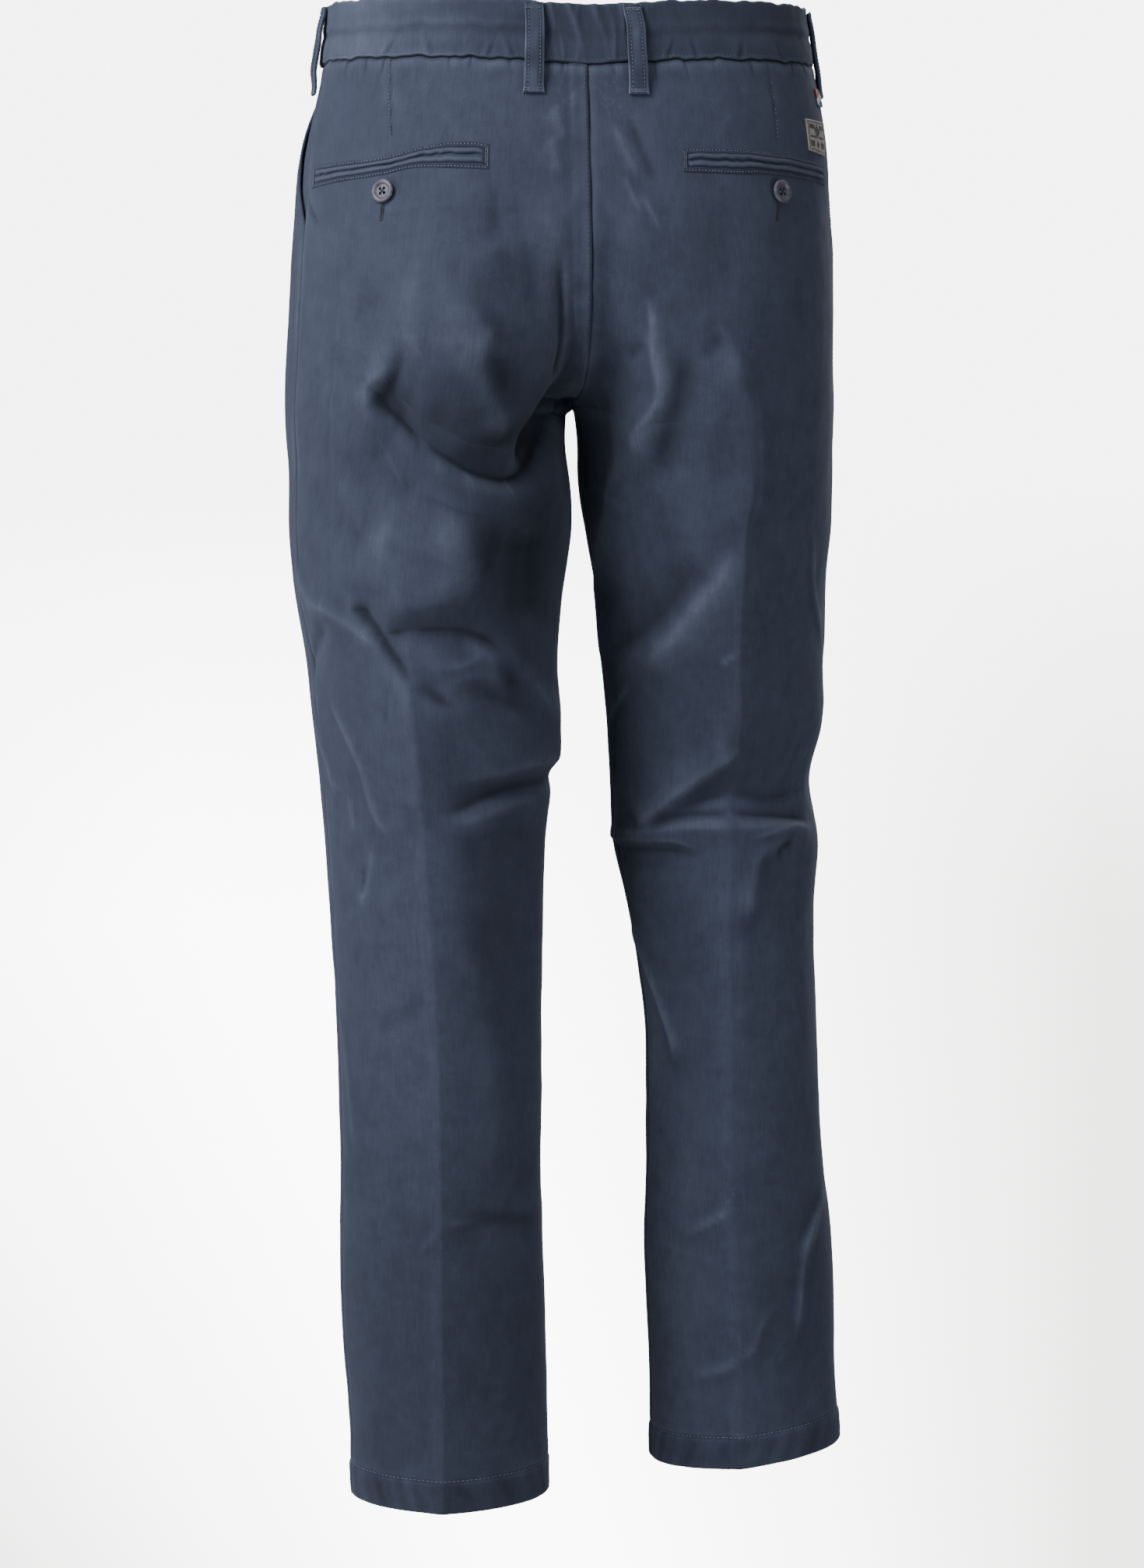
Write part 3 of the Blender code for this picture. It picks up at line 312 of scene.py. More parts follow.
FOLDS = {
    "left": read_folds("""
pull at the pocket mouth: -1.3 2.2 3 1.2 0.25: -0.02 97, 0.03 110, 0.1 118, 0.22 128;
fall of the seat: 3 34 50 1.9 0.3: 1.46 120, 1.42 165, 1.36 205;
roll under the seat: 8 42 34 2 0.25: 0.6 178, 0.85 188, 1.12 196, 1.4 204, 1.65 208, 1.9 196;
hollow under the seat: -6 40 40 1.6 0.16: 0.68 234, 0.79 249, 1.01 270, 1.22 287, 1.43 293, 1.64
    281, 1.85 262, 2.05 248;
crease under the seat: -12 36 4 1.1 0.07: 0.69 226, 0.69 233, 0.72 241, 0.79 250, 0.89 260, 1.01
    271, 1.11 280, 1.22 289, 1.33 294, 1.43 295, 1.54 291, 1.64 284, 1.76 272, 1.93 258, 2.05 250;
pocket under the crotch: -12 20 9 1.5 0.28: 1.46 285, 1.62 275, 1.78 261, 1.98 247;
inner seat fall: 9 15 40 1.05 0.24: 1.35 186, 1.27 200, 1.235 214, 1.26 229, 1.31 243, 1.35 256,
    1.38 272;
groove beside the seat seam: -3.2 4 9 1.5 0.3: 1.83 140, 1.81 173, 1.78 203, 1.75 225, 1.82 240;
wrinkle under the loop: 1.3 4 6 1.3 0.3: 1.8 50, 1.84 60, 1.9 76;
second wrinkle under the loop: 1.2 5 5 1.3 0.35: 1.78 68, 1.82 81, 1.86 100;
seat wrinkle: -0.9 6 8 1.5 0.35: 1.48 98, 1.44 112, 1.42 140;
short line by the seat seam: 1.2 3 4 1.1 0.35: 1.7 222, 1.8 236;
thigh line: 0.6 3 3 1 0.3: 0.7 258, 0.76 268, 0.85 283, 0.98 305;
fullness of the thigh: 6 34 34 2 0.3: 0.66 320, 0.84 334, 1.02 342, 1.18 345, 1.34 345;
lobe of the thigh: 7 13 26 1.6 0.36: 0.98 286, 1.09 306, 1.17 328, 1.21 345, 1.19 358, 1.1 367,
    0.94 372, 0.66 374;
hollow of the inner thigh: -4.5 26 30 2 0.3: 1.46 315, 1.5 345, 1.56 375, 1.62 395;
soft valley of the thigh: -1.2 15 18 2 0.35: 0.22 275, 0.35 302, 0.56 325, 0.7 337, 0.84 350;
outer lobe: 1.6 18 9 1.8 0.35: 0.12 366, 0.28 375, 0.46 380;
drag from the hip: 3.2 7 18 1.15 0.2: -0.08 345, 0.04 360, 0.19 372, 0.46 382, 0.68 395, 0.82 408;
valley above the knee: -6.5 12 6 1.25 0.22: 0.55 375, 0.66 382, 0.75 390, 0.87 408, 1.01 422, 1.08
    432, 1.22 443;
notch above the knee: -1.2 3 4 1.2 0.35: 0.55 378, 0.64 377, 0.74 379;
arched valley: -4.2 5 13 1.15 0.22: 0.8 397, 0.86 393, 0.94 391, 1.1 389, 1.22 390, 1.3 394, 1.37
    400, 1.41 408;
knee pillow: 5 11 28 1.4 0.35: 1.2 396, 1.32 405, 1.355 418, 1.36 436;
valley beside the pillow: -2.6 16 9 1.6 0.35: 1.42 412, 1.47 432, 1.46 452;
inner thigh band: 3.5 12 11 1.6 0.3: 1.34 392, 1.42 402, 1.53 420, 1.7 440, 1.9 462;
outer knee arc: -2.4 7 7 1.6 0.3: 0.4 388, 0.28 393, 0.12 404, 0 418, -0.02 436;
knee crease: 4.5 24 32 1.1 0.25: 1.01 420, 0.985 446, 0.98 470, 0.98 500, 0.99 525;
knee streak: -0.6 3 5 1.2 0.35: 0.87 418, 0.82 434, 0.77 456;
roll inside the knee: 5 30 7 1.5 0.25: 1.1 492, 1.31 486, 1.55 481, 1.82 482, 2.2 482;
valley inside the knee: -4 12 5 1.25 0.22: 1 513, 1.16 509, 1.31 501, 1.5 496, 1.79 496, 2.2 496;
band inside the knee: 2.2 6 12 1.5 0.3: 1.06 523, 1.26 516, 1.49 508, 1.78 505;
first knee drag: 2.1 9 4 1.1 0.25: 0.22 428, 0.28 440, 0.4 458, 0.55 485, 0.63 511, 0.78 536;
second knee drag: 1.7 7 4 1.1 0.3: -0.06 452, 0.02 466, 0.13 480, 0.27 511;
third knee drag: 1.2 5 4 1.1 0.35: 0.38 500, 0.41 512, 0.44 532;
calf crumple: 1.1 4 5 1.1 0.3: 0.48 536, 0.58 541, 0.53 559, 0.42 582;
calf dimple: -0.9 5 4 1.3 0.35: 0.48 545, 0.5 556, 0.46 570;
calf facet: 4 19 26 1.35 0.25: 1.03 512, 1.08 532, 1.12 560, 1.13 590, 1.21 629, 1.29 685, 1.31
    730, 1.22 780;
soft calf diagonal: -0.9 8 12 1.6 0.3: 1.04 631, 0.86 640, 0.7 648, 0.49 662;
outer calf streak: 1.4 4 5 1.1 0.3: 0.06 655, 0.15 682, 0.21 713, 0.27 752;
shin fold: 0.9 2.5 2.5 1.1 0.3: 0.8 812, 0.91 800, 1 790, 1.1 786, 1.3 785;
shin step: -1.5 6 16 1.3 0.3: 1.03 786, 1.2 785, 1.32 786, 1.56 790, 1.85 794;
front whisker: 3 9 11 1.6 0.3: -0.85 175, -1.35 205, -1.85 235;
second front whisker: 2 7 10 1.5 0.3: -0.95 215, -1.4 236, -1.88 256;
front thigh drag: 2.5 12 14 1.8 0.3: -1.85 275, -1.35 315, -0.75 385;
front hip drag: -1.6 10 12 1.6 0.3: -0.35 150, -0.7 195, -1.1 225;
front knee fold: 2.5 10 16 1.6 0.3: -1.7 520, -1.2 505, -0.6 500;
second front knee fold: 1.6 8 12 1.4 0.3: -1.55 470, -1.05 462, -0.55 472;
front ankle break: -2.5 12 14 1.6 0.3: -1.6 900, -1 915, -0.45 895"""),
    "right": read_folds("""
wrinkle under the loop: 1.2 5 6 1.3 0.3: 1.9 58, 1.86 70, 1.8 86, 1.74 102;
second wrinkle under the loop: -1.1 5 5 1.4 0.3: 1.8 54, 1.76 68, 1.69 88, 1.62 106;
first seat streak: 0.9 2.5 4 1.1 0.35: 1.84 94, 1.79 108, 1.7 124;
second seat streak: 0.9 2.5 4 1.1 0.35: 1.76 106, 1.66 119, 1.54 137;
seat ridge: 4 22 14 1.8 0.28: 1.6 168, 1.54 190, 1.49 208, 1.43 232, 1.46 250, 1.54 275, 1.64 300;
line on the seat ridge: 2 2.5 7 1.05 0.2: 1.62 170, 1.54 190, 1.5 208, 1.45 223, 1.42 235, 1.44
    246, 1.51 262, 1.56 284;
dimple by the seat ridge: -1.2 6 6 1.4 0.35: 1.67 214, 1.61 206, 1.55 199;
valley by the seat ridge: -3.2 8 16 1.6 0.3: 1.38 200, 1.33 228, 1.36 262, 1.46 300;
outer seat dimple: -1.1 8 7 1.6 0.35: 1.14 194, 1.18 203, 1.23 216;
outer thigh facet: 4.5 22 13 1.4 0.25: 1.14 190, 1.07 212, 1.01 235, 0.96 254, 0.965 284, 0.99 310,
    1 330;
hollow inside the thigh: -4 26 20 2 0.3: 1.84 235, 1.78 275, 1.84 340;
inner thigh edge: 4.2 12 24 1.2 0.22: 1.56 270, 1.62 282, 1.68 296, 1.74 318, 1.82 343, 1.97 370,
    1.98 393, 1.95 416, 1.84 440;
hollow of the thigh: -5 34 14 1.7 0.28: 1.18 335, 1.34 364, 1.5 386, 1.7 402, 1.9 408;
thigh drag: 6 12 34 1.3 0.25: 1 328, 1.11 357, 1.24 380, 1.34 397, 1.45 411, 1.6 424;
ridge above the knee: 7 26 7 1.3 0.16: 0.96 470, 1.07 482, 1.18 493, 1.29 505, 1.46 520, 1.66 535;
hollow of the knee: -6 17 7 1.4 0.25: 0.26 508, 0.65 512, 0.95 508, 1.2 513, 1.42 526;
line over the pleat: -4 9 3 1.2 0.14: 0.3 531, 0.63 526, 0.9 523, 1.14 522, 1.35 525, 1.57 533;
pleat across the knee: 3.4 5 9 1.3 0.14: 0.18 536, 0.45 536, 0.75 532, 1 531, 1.3 532, 1.6 538,
    2.15 542;
line on the pleat: 0.6 1.8 2 1.1 0.25: 0.4 532, 0.76 529, 1.03 527, 1.29 529, 1.5 534;
low edge of the pleat: 2.4 6 2.6 1.1 0.22: 1.18 549, 1.26 545, 1.36 542, 1.57 543, 1.99 545, 2.15
    547;
outer edge of the pleat: 2 4 4 1.1 0.28: 0.34 533, 0.5 533, 0.64 535, 0.93 540;
valley under the pleat: -3.2 4 18 1.3 0.25: 1.14 553, 1.34 549, 1.59 550, 2.15 555;
kink under the pleat: 4 18 8 1.25 0.28: 0.52 538, 0.66 543, 0.77 548, 0.83 555, 0.86 572, 0.88 605;
dimple under the pleat: -3 5 5 1.3 0.35: 0.5 545, 0.62 547, 0.7 556;
calf line: 4.2 4 11 1.05 0.2: 2 593, 1.93 613, 1.84 628, 1.76 642, 1.61 669, 1.54 686, 1.55 704;
calf facet: 2 20 14 1.5 0.3: 0.88 590, 0.96 640, 0.98 720;
thigh nick: 1.4 2.5 3 1.1 0.35: 0.97 407, 1.04 408, 1.12 416;
inner knee pinch: 2.8 4 4 1.1 0.28: 1.66 428, 1.72 438, 1.8 447, 1.93 463, 1.95 486, 1.96 516;
outer thigh drag: 1.6 3 5 1.1 0.3: 0.42 315, 0.39 345, 0.33 372, 0.22 396, 0.1 416;
shin drag: 2.6 3 6 1.1 0.3: 0.14 790, 0.28 803, 0.44 818, 0.6 842;
second shin drag: 3 3.5 8 1.15 0.28: 0.28 804, 0.42 820, 0.52 836, 0.58 869, 0.61 904;
low shin drag: 1 6 3 1.2 0.3: 0.95 795, 1.07 802, 1.19 809, 1.45 823;
ankle fold: 1.3 6 3 1.15 0.26: 0.7 866, 0.84 880, 0.92 900, 1.07 912, 1.42 925;
front whisker: 3 9 11 1.6 0.3: -0.9 165, -1.4 200, -1.85 235;
second front whisker: 2 7 10 1.5 0.3: -1 210, -1.42 232, -1.88 254;
front thigh drag: 3 14 14 1.8 0.3: -1.8 290, -1.3 340, -0.8 420;
front knee fold: 2 10 18 1.6 0.3: -1.6 570, -1.05 585, -0.5 570;
front ankle break: -3 12 14 1.6 0.3: -1.6 890, -1 905, -0.4 885"""),
}
CREASE_RELIEF = 8 * MM
CREASE_WIDTH = 27 * MM
CREASES = {
    ("left", 1): (-0.38, -0.46),
    ("left", -1): (-0.12, -0.30),
    ("right", 1): (-0.22, -0.34),
    ("right", -1): (-0.12, -0.30),
}
print("folds:", len(FOLDS["left"]), "on the left leg and", len(FOLDS["right"]), "on the right")

# %% [markdown]
# A fold's lift at a place depends on how far that place is from the fold's path. The
# path is a smooth curve through its points, measured in metres of cloth, and only the
# places near it are worked out. A place's distance from the path, its side of it and how
# far along it lies are means over the whole path in which the nearest pieces weigh most,
# so the lift has no step inside a bend or past an end.

# %% Lift of one fold
def smooth_path(path, steps=6):
    """Points along a Catmull-Rom curve through a path's own points."""
    path = np.array(path, float)
    ends = np.vstack([2 * path[0] - path[1], path, 2 * path[-1] - path[-2]])
    points = []
    for before, here, after, beyond in zip(ends, ends[1:], ends[2:], ends[3:]):
        for f in np.arange(steps) / steps:
            points.append(0.5 * (2 * here + (after - before) * f
                                 + (2 * before - 5 * here + 4 * after - beyond) * f * f
                                 + (3 * here - before - 3 * after + beyond) * f ** 3))
    return np.vstack([points, path[-1:]])


def beside_path(line, x, y):
    """How far places are from a line, on which side (-1 to 1), and how far along it."""
    total, away, side, along = np.zeros((4, *x.shape))
    lengths = np.linalg.norm(np.diff(line, axis=0), axis=1)
    start = np.concatenate([[0], np.cumsum(lengths)]) / lengths.sum()
    for k, (a, b) in enumerate(zip(line, line[1:])):
        run = b - a
        f = np.clip(((x - a[0]) * run[0] + (y - a[1]) * run[1]) / (run @ run), 0, 1)
        dx, dy = x - a[0] - f * run[0], y - a[1] - f * run[1]
        far = np.hypot(dx, dy) + 0.05 * MM
        weight = lengths[k] * far ** -6
        total += weight
        away += weight * far
        side += weight * (run[0] * dy - run[1] * dx) / (far * lengths[k])
        along += weight * (start[k] + f * (start[k + 1] - start[k]))
    return away / total, side / total, along / total


def fold_lift(fold, turn, height, quarter):
    """How far one fold lifts the cloth at these places."""
    relief, left_width, right_width, sharpness, fade, path = fold
    line = smooth_path(path)
    scale = read_column(SEAMS, "quarter", line[:, 1])
    line = np.stack([line[:, 0] * scale, line[:, 1]], -1)
    x = turn * quarter
    reach = 3 * max(left_width, right_width) * MM
    low, high = line.min(0) - reach, line.max(0) + reach
    near = (x > low[0]) & (x < high[0]) & (height > low[1]) & (height < high[1])
    lift = np.zeros(x.shape)
    if near.any():
        away, side, along = beside_path(line, x[near], height[near])
        width = (right_width + (left_width - right_width) * ease(side, -0.7, 0.7)) * MM
        ends = ease(along, 0, fade) * ease(1 - along, 0, fade)
        rounded = np.sqrt((away / width) ** 2 + 0.01) - 0.1
        lift[near] = relief * MM * np.exp(-(rounded ** sharpness)) * ends
    return lift


print("points on the first fold's path:", len(smooth_path(FOLDS["left"][0][-1])))

# %% [markdown]
# Between the named folds the cloth is never quite flat. A soft noise on a lattice adds
# waves of a few centimetres, longer down the leg than across it.

# %% Soft waves


def lattice_noise(points, size, seed):
    """Smooth noise from -1 to 1 at points, on a lattice with cells of this size."""
    table = np.random.default_rng(seed).uniform(-1, 1, (32, 32, 32))
    at = points / np.array(size)
    low = np.floor(at).astype(int)
    f = at - low
    f = f * f * (3 - 2 * f)
    total = np.zeros(points.shape[:-1])
    for corner in np.ndindex(2, 2, 2):
        i = (low + np.array(corner)) % 32
        weight = np.prod(np.where(np.array(corner) == 1, f, 1 - f), axis=-1)
        total += weight * table[i[..., 0], i[..., 1], i[..., 2]]
    return total


def noise_over(across, along, size, seed, layer=0):
    """The same noise over a flat strip of cloth."""
    across, along = np.broadcast_arrays(across, along)
    return lattice_noise(np.stack([across, along, 0 * along + layer], -1), (*size, 1), seed)


# The height of each wave in millimetres, the size of its cells and its seed.
WAVES = ((0.80, (0.042, 0.042, 0.075), 11), (0.42, (0.018, 0.018, 0.036), 23),
         (0.18, (0.008, 0.008, 0.015), 37))


def soft_waves(points):
    return sum(height * MM * lattice_noise(points, size, seed) for height, size, seed in WAVES)


print("sizes of wave:", len(WAVES))

# %% [markdown]
# ## Seams
# A plain seam shows as a thin valley where two panels meet, with a low shoulder on each
# side, where the allowances lie underneath. The thread draws the shoulders into small
# puckers. All of this is a matter of how far a place is from the seam, in metres of
# cloth, so the length of cloth in one turn is worked out first.

# %% Distance from the seams
SPEED_HEIGHTS = np.linspace(0.02, -1.0, 205)
SPEED_STEP = 0.03
HEMS = {"left": (-0.989, 0.000), "right": (-0.9865, 0.0055)}
HEM_FADE_TOP = -0.800
HEM_STITCH = 23 * MM
# Metres of cloth in one turn, near enough for waves and widths.
HIP_TURN = 0.12
WAIST_TURN = 0.125
SEAT_TURN = 0.14
HEM_TURN = 0.098


def cloth_in_a_turn(side, seam):
    """Metres of cloth in one turn beside a seam, for each of the speed heights."""
    beside = seam - math.copysign(SPEED_STEP, seam) if seam else SPEED_STEP
    here = base_form(side, np.full(SPEED_HEIGHTS.shape, float(seam)), SPEED_HEIGHTS)
    there = base_form(side, np.full(SPEED_HEIGHTS.shape, beside), SPEED_HEIGHTS)
    return np.linalg.norm(there - here, axis=-1) / SPEED_STEP


SPEEDS = {(side, seam): cloth_in_a_turn(side, seam)
          for side in ("left", "right") for seam in (-2, 0, 2)}


def seam_speed(side, seam, height):
    return np.interp(-height, -SPEED_HEIGHTS, SPEEDS[side, seam])


def waist_dip(side, turn):
    """How far the waistband and its seam drop towards the centre back, a little unevenly."""
    start = 0.0 if side == "left" else 2.1
    uneven = (np.sin(17 * turn + start) + 0.7 * np.sin(31 * turn + 1)
              + 0.6 * np.sin(53 * turn + start))
    uneven = uneven * (1 - np.clip(np.abs(turn) / 2, 0, 1) ** 8)
    return 0.45 * MM * uneven - CENTRE_BACK_DIP * np.clip(turn / 2, 0, 1) ** 3


def hem_height(side, turn):
    middle, slope = HEMS[side]
    return middle + slope * np.cos(turn * math.pi / 2)


def seam_distances(side, turn, height):
    """How far places are from the side seam, the inner seam, the waist and the hem."""
    end = np.where(turn > 0, seam_speed(side, 2, height), seam_speed(side, -2, height))
    return (np.abs(turn) * seam_speed(side, 0, height),
            (2 - np.abs(turn)) * end,
            WAIST_SEAM + waist_dip(side, turn) - height,
            height - hem_height(side, turn))


def bell(distance, width):
    return np.exp(-(distance / width) ** 2)


def puckers(away, along, pitch, seed):
    """Uneven waves along a seam, from -1 to 1."""
    return noise_over(away, along, (0.020, pitch), seed)


# The dart over each back pocket: turn at the waist, lean, foot, depth and shoulder.
DARTS = {"left": (0.66, -1.55, -0.078, 0.25, 0.30), "right": (0.69, -0.35, -0.080, 0.30, 0.12)}
# Small pleats that the waist seam has caught, as turns round the waist.
NICKS = {"left": (0.30, 0.47, 0.62, 1.04, 1.22, 1.52, 1.87, -0.62, -1.30, -1.64),
         "right": (0.28, 0.44, 0.83, 1.10, 1.36, 1.58, 1.88, -0.55, -1.24, -1.58)}


def dart_distance(side, turn, height):
    """How far places are from the dart, and how much of it shows there."""
    dart_turn, lean, end = DARTS[side][:3]
    away = np.abs(turn - dart_turn - lean * (height - WAIST_SEAM))
    away = away * seam_speed(side, 0, height) * 0.8
    return away, (1 - ease(-height, -end - 0.02, -end)) * (turn > 0)


def waist_nicks(side, turn, height):
    """1 in the small pleats under the waist seam, which lean a little."""
    below = WAIST_SEAM + waist_dip(side, turn) - height
    depth = 0 * below
    for k, at in enumerate(NICKS[side]):
        lean = 0.9 if k % 2 else -1.1
        across = (turn - at - lean * below) * WAIST_TURN
        depth = depth + bell(across, 1.2 * MM) * bell(below - 3 * MM, (5 + 2 * (k % 3)) * MM)
    return depth


def along_seam(height):
    return height + 0.35 * SPEED_HEIGHTS[0]


def seam_lift(side, turn, height):
    """The relief of the seams, the hem and the pressed allowances."""
    at_side, at_centre, at_waist, at_hem = seam_distances(side, turn, height)
    lift = 0 * at_side
    along = along_seam(height)
    for away, seed, depth, shoulder in ((at_side, 3, 0.40, 0.09), (at_centre, 5, 0.70, 0.08)):
        lift -= depth * MM * bell(away, 1.1 * MM)
        raised = shoulder * MM * (1 + 1.2 * puckers(away, along, 0.011, seed))
        lift += raised * bell(away - 3.5 * MM, 3.2 * MM)
        lift += 0.35 * MM * puckers(away, along, 0.026, seed + 1) * bell(away, 12 * MM)
    round_waist = turn * HIP_TURN
    lift -= 1.1 * MM * bell(at_waist, 1.5 * MM)
    gathered = 1 + puckers(at_waist, round_waist, 0.013, 7)
    lift += 0.40 * MM * gathered * bell(at_waist - 5 * MM, 4 * MM)
    seat_strip = 0.55 * MM * (1 - ease(at_centre, 12 * MM, 14.5 * MM))
    if side == "left":
        on_seat = ease(height, -0.245, -0.225) * (turn > 0)
        ripples = 1 + 0.7 * puckers(0 * at_centre, along, 0.010, 9)
        lift += seat_strip * ripples * on_seat
    at_dart, shown = dart_distance(side, turn, height)
    depth, shoulder = DARTS[side][3:]
    lift -= depth * MM * bell(at_dart, 0.9 * MM) * shown
    gathered = 1 + puckers(at_dart, along, 0.008, 17)
    lift += shoulder * MM * gathered * bell(at_dart - 2.5 * MM, 3 * MM) * shown
    lift -= 0.6 * MM * waist_nicks(side, turn, height)
    round_hem = turn * HEM_TURN
    hem_band = 1 - ease(at_hem, HEM_STITCH - 1.5 * MM, HEM_STITCH + 0.5 * MM)
    lift += 0.65 * MM * hem_band
    lift -= 0.55 * MM * bell(at_hem - HEM_STITCH, 1.2 * MM)
    ropes = puckers(0 * at_hem, round_hem + 0.55 * at_hem, 0.0085, 13)
    lift += 0.85 * MM * ropes * bell(at_hem - 0.5 * HEM_STITCH, 0.55 * HEM_STITCH)
    lift -= 1.1 * MM * np.clip(1 - at_hem / (1.6 * MM), 0, 1) ** 2
    return lift


print("one turn of cloth at the hip:", round(float(seam_speed("left", 0, -0.1)), 3), "m")

# %% [markdown]
# ## The whole surface
# The lift of the creases, folds, waves and seams is added along the normal of the
# smooth form. The same function later places every stitch and sewn-on piece, so they
# all sit on the cloth, whatever its folds do.

# %% Surface of the cloth
FOLD_START = 0.060
# The web of cloth beside the seat seam: its relief, its place and width in metres from
# the seam, and the heights over which it begins and ends.
SEAT_WEB = 4.5 * MM
WEB_PLACE, WEB_WIDTH = 0.030, 0.026
WEB_TOP, WEB_FOOT = (0.09, 0.14), (0.185, 0.225)
THIGH_GAP = 3.5 * MM
THIGH_GAP_DROP = 0.018
CROTCH_RISE = 8 * MM
CROTCH_WIDTH, CROTCH_HEIGHT = 0.030, 0.026
CLOSING = 1.0 * MM


def near_centre_seam(turn, height):
    """1 on the centre seams above the crotch, where folds of one side must end."""
    return (1 - ease(2 - np.abs(turn), 0, 0.16)) * ease(height, CROTCH - 0.010, CROTCH + 0.020)


def fold_relief(side, turn, height):
    quarter = read_column(SEAMS, "quarter", height)
    lift = np.zeros(turn.shape)
    below_crotch = height < CROTCH
    for fold in FOLDS[side]:
        lift += fold_lift(fold, turn, height, quarter)
        if max(abs(at) for at, _ in fold[-1]) > 1.6:
            lift += fold_lift(fold, turn + 4, height, quarter) * below_crotch
            lift += fold_lift(fold, turn - 4, height, quarter) * below_crotch
    for (leg, at), (fade_in, full) in CREASES.items():
        if leg == side:
            away = np.abs(turn - at) * quarter
            sharp = np.sqrt(away ** 2 + (0.4 * MM) ** 2)
            lift += CREASE_RELIEF * np.exp(-sharp / CREASE_WIDTH) * ease(-height, -fade_in, -full)
    lift *= 1 - near_centre_seam(turn, height)
    return lift * ease(-height, -WAIST_SEAM, FOLD_START)


def surface(side, turn, height, offset=0.0):
    """Places on the cloth with all its folds and seams, or off it by the offset."""
    turn, height, offset = np.broadcast_arrays(
        np.asarray(turn, float), np.asarray(height, float), np.asarray(offset, float))
    base = base_form(side, turn, height)
    normal = outward(side, turn, height)
    at_centre = bell((2 - np.abs(turn)) * HIP_TURN, 4 * MM) * ease(height, CROTCH - 4 * MM, CROTCH)
    normal[..., 0] *= 1 - at_centre
    normal /= np.where(height > CROTCH, np.linalg.norm(normal, axis=-1), 1)[..., None]
    lift = fold_relief(side, turn, height) + seam_lift(side, turn, height)
    lift += soft_waves(base) * (0.35 + 0.65 * ease(-height, 0.03, 0.12))
    web = bell((2 - turn) * SEAT_TURN - WEB_PLACE, WEB_WIDTH) * ease(-height, *WEB_TOP)
    lift += SEAT_WEB * web * (1 - ease(-height, *WEB_FOOT))
    thighs = bell(2 - np.abs(turn), 0.35) * bell(height - CROTCH + THIGH_GAP_DROP, 0.020)
    lift -= THIGH_GAP * thighs
    points = base + normal * (lift + offset)[..., None]
    points[..., 2] += (CROTCH_RISE * bell(base[..., 0] - CROTCH_SHIFT, CROTCH_WIDTH)
                       * bell(height - CROTCH, CROTCH_HEIGHT))
    if side == "right":
        closing = bell((2 - np.abs(turn)) * HIP_TURN, 6 * MM)
        closing = closing * ease(height, CROTCH - 10 * MM, CROTCH)
        points[..., 0] += CLOSING * leg_share(turn, height) * closing
    return points


print("left back crease at the knee:", surface("left", np.ones(1), np.full(1, -0.5))[0].round(3))

# %% [markdown]
# ## Sheets of cloth
# bmesh's grid operator makes a flat sheet of the right number of rows and columns. Its
# points then move to their places on the form, which keeps neat quads that follow the
# grain of the cloth. The UV map is in metres of cloth, so the weave has one size
# everywhere, and a point attribute tells the material where the cloth is worn pale and
# where it carries painted shade and painted light.

# %% Sheet from a grid


def grid_sheet(name, points, flat_places, away, wear_and_shade=0.0):
    """A sheet over a grid of points, with the place on the flat cloth as its UV map."""
    rows, columns = points.shape[:2]
    bm = bmesh.new()
    bmesh.ops.create_grid(bm, x_segments=columns - 1, y_segments=rows - 1, size=0.5)
    mesh = bpy.data.meshes.new(name)
    bm.to_mesh(mesh)
    bm.free()
    flat = np.empty(len(mesh.vertices) * 3)
    mesh.vertices.foreach_get("co", flat)
    flat = flat.reshape(-1, 3)
    row = np.rint((0.5 - flat[:, 1]) * (rows - 1)).astype(int)
    column = np.rint((flat[:, 0] + 0.5) * (columns - 1)).astype(int)
    mesh.vertices.foreach_set("co", points[row, column].ravel())
    corner = np.empty(len(mesh.loops), int)
    mesh.loops.foreach_get("vertex_index", corner)
    uv = mesh.uv_layers.new(name="cloth")
    uv.data.foreach_set("uv", flat_places[row, column][corner].ravel())
    tone_change = mesh.attributes.new("wear_and_shade", "FLOAT", "POINT")
    tone_change.data.foreach_set("value", (wear_and_shade + 0 * points[..., 0])[row, column])
    r, c = rows // 2, columns // 2
    facing = np.cross(points[r, c + 1] - points[r, c], points[r - 1, c] - points[r, c])
    if facing @ away[r, c] < 0:
        mesh.flip_normals()
    mesh.shade_smooth()
    mesh.update()
    piece = bpy.data.objects.new(name, mesh)
    bpy.context.scene.collection.objects.link(piece)
    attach(piece, "root")
    return piece


def thicken(piece, thickness):
    wall = piece.modifiers.new("cloth wall", "SOLIDIFY")
    wall.thickness = thickness
    wall.offset = -1


def spans(stops):
    """Values from one stop to the next, each with its number of steps."""
    values = []
    for (start, steps), (end, _) in zip(stops, stops[1:]):
        values += list(np.linspace(start, end, steps, endpoint=False))
    return np.array(values + [stops[-1][0]])


def flat_map(smooth, middle):
    """Metres of cloth across each row from its middle column, and down that column."""
    across = np.linalg.norm(np.diff(smooth, axis=1), axis=-1)
    across = np.concatenate([np.zeros((len(smooth), 1)), np.cumsum(across, 1)], 1)
    across -= across[:, middle][:, None]
    down = np.linalg.norm(np.diff(smooth[:, middle], axis=0), axis=-1)
    down = np.concatenate([[0], np.cumsum(down)])
    return np.stack([across, -down[:, None] + 0 * across], -1)


def blurred(values, passes):
    for _ in range(passes):
        padded = np.pad(values, 1, mode="edge")
        values = (padded[:-2, 1:-1] + padded[2:, 1:-1] + padded[1:-1, :-2]
                  + padded[1:-1, 2:] + 4 * padded[1:-1, 1:-1]) / 8
    return values


print("a span of four steps:", spans(((0, 4), (1, 0))))

# %% [markdown]
# ## The four panels
# Rows follow the waist seam at the top and the hem at the bottom. They are close
# together in the seat and the knees, where the folds are, and closest at the hem. Near
# the crotch they follow the angle of the seat curve, which turns under there.

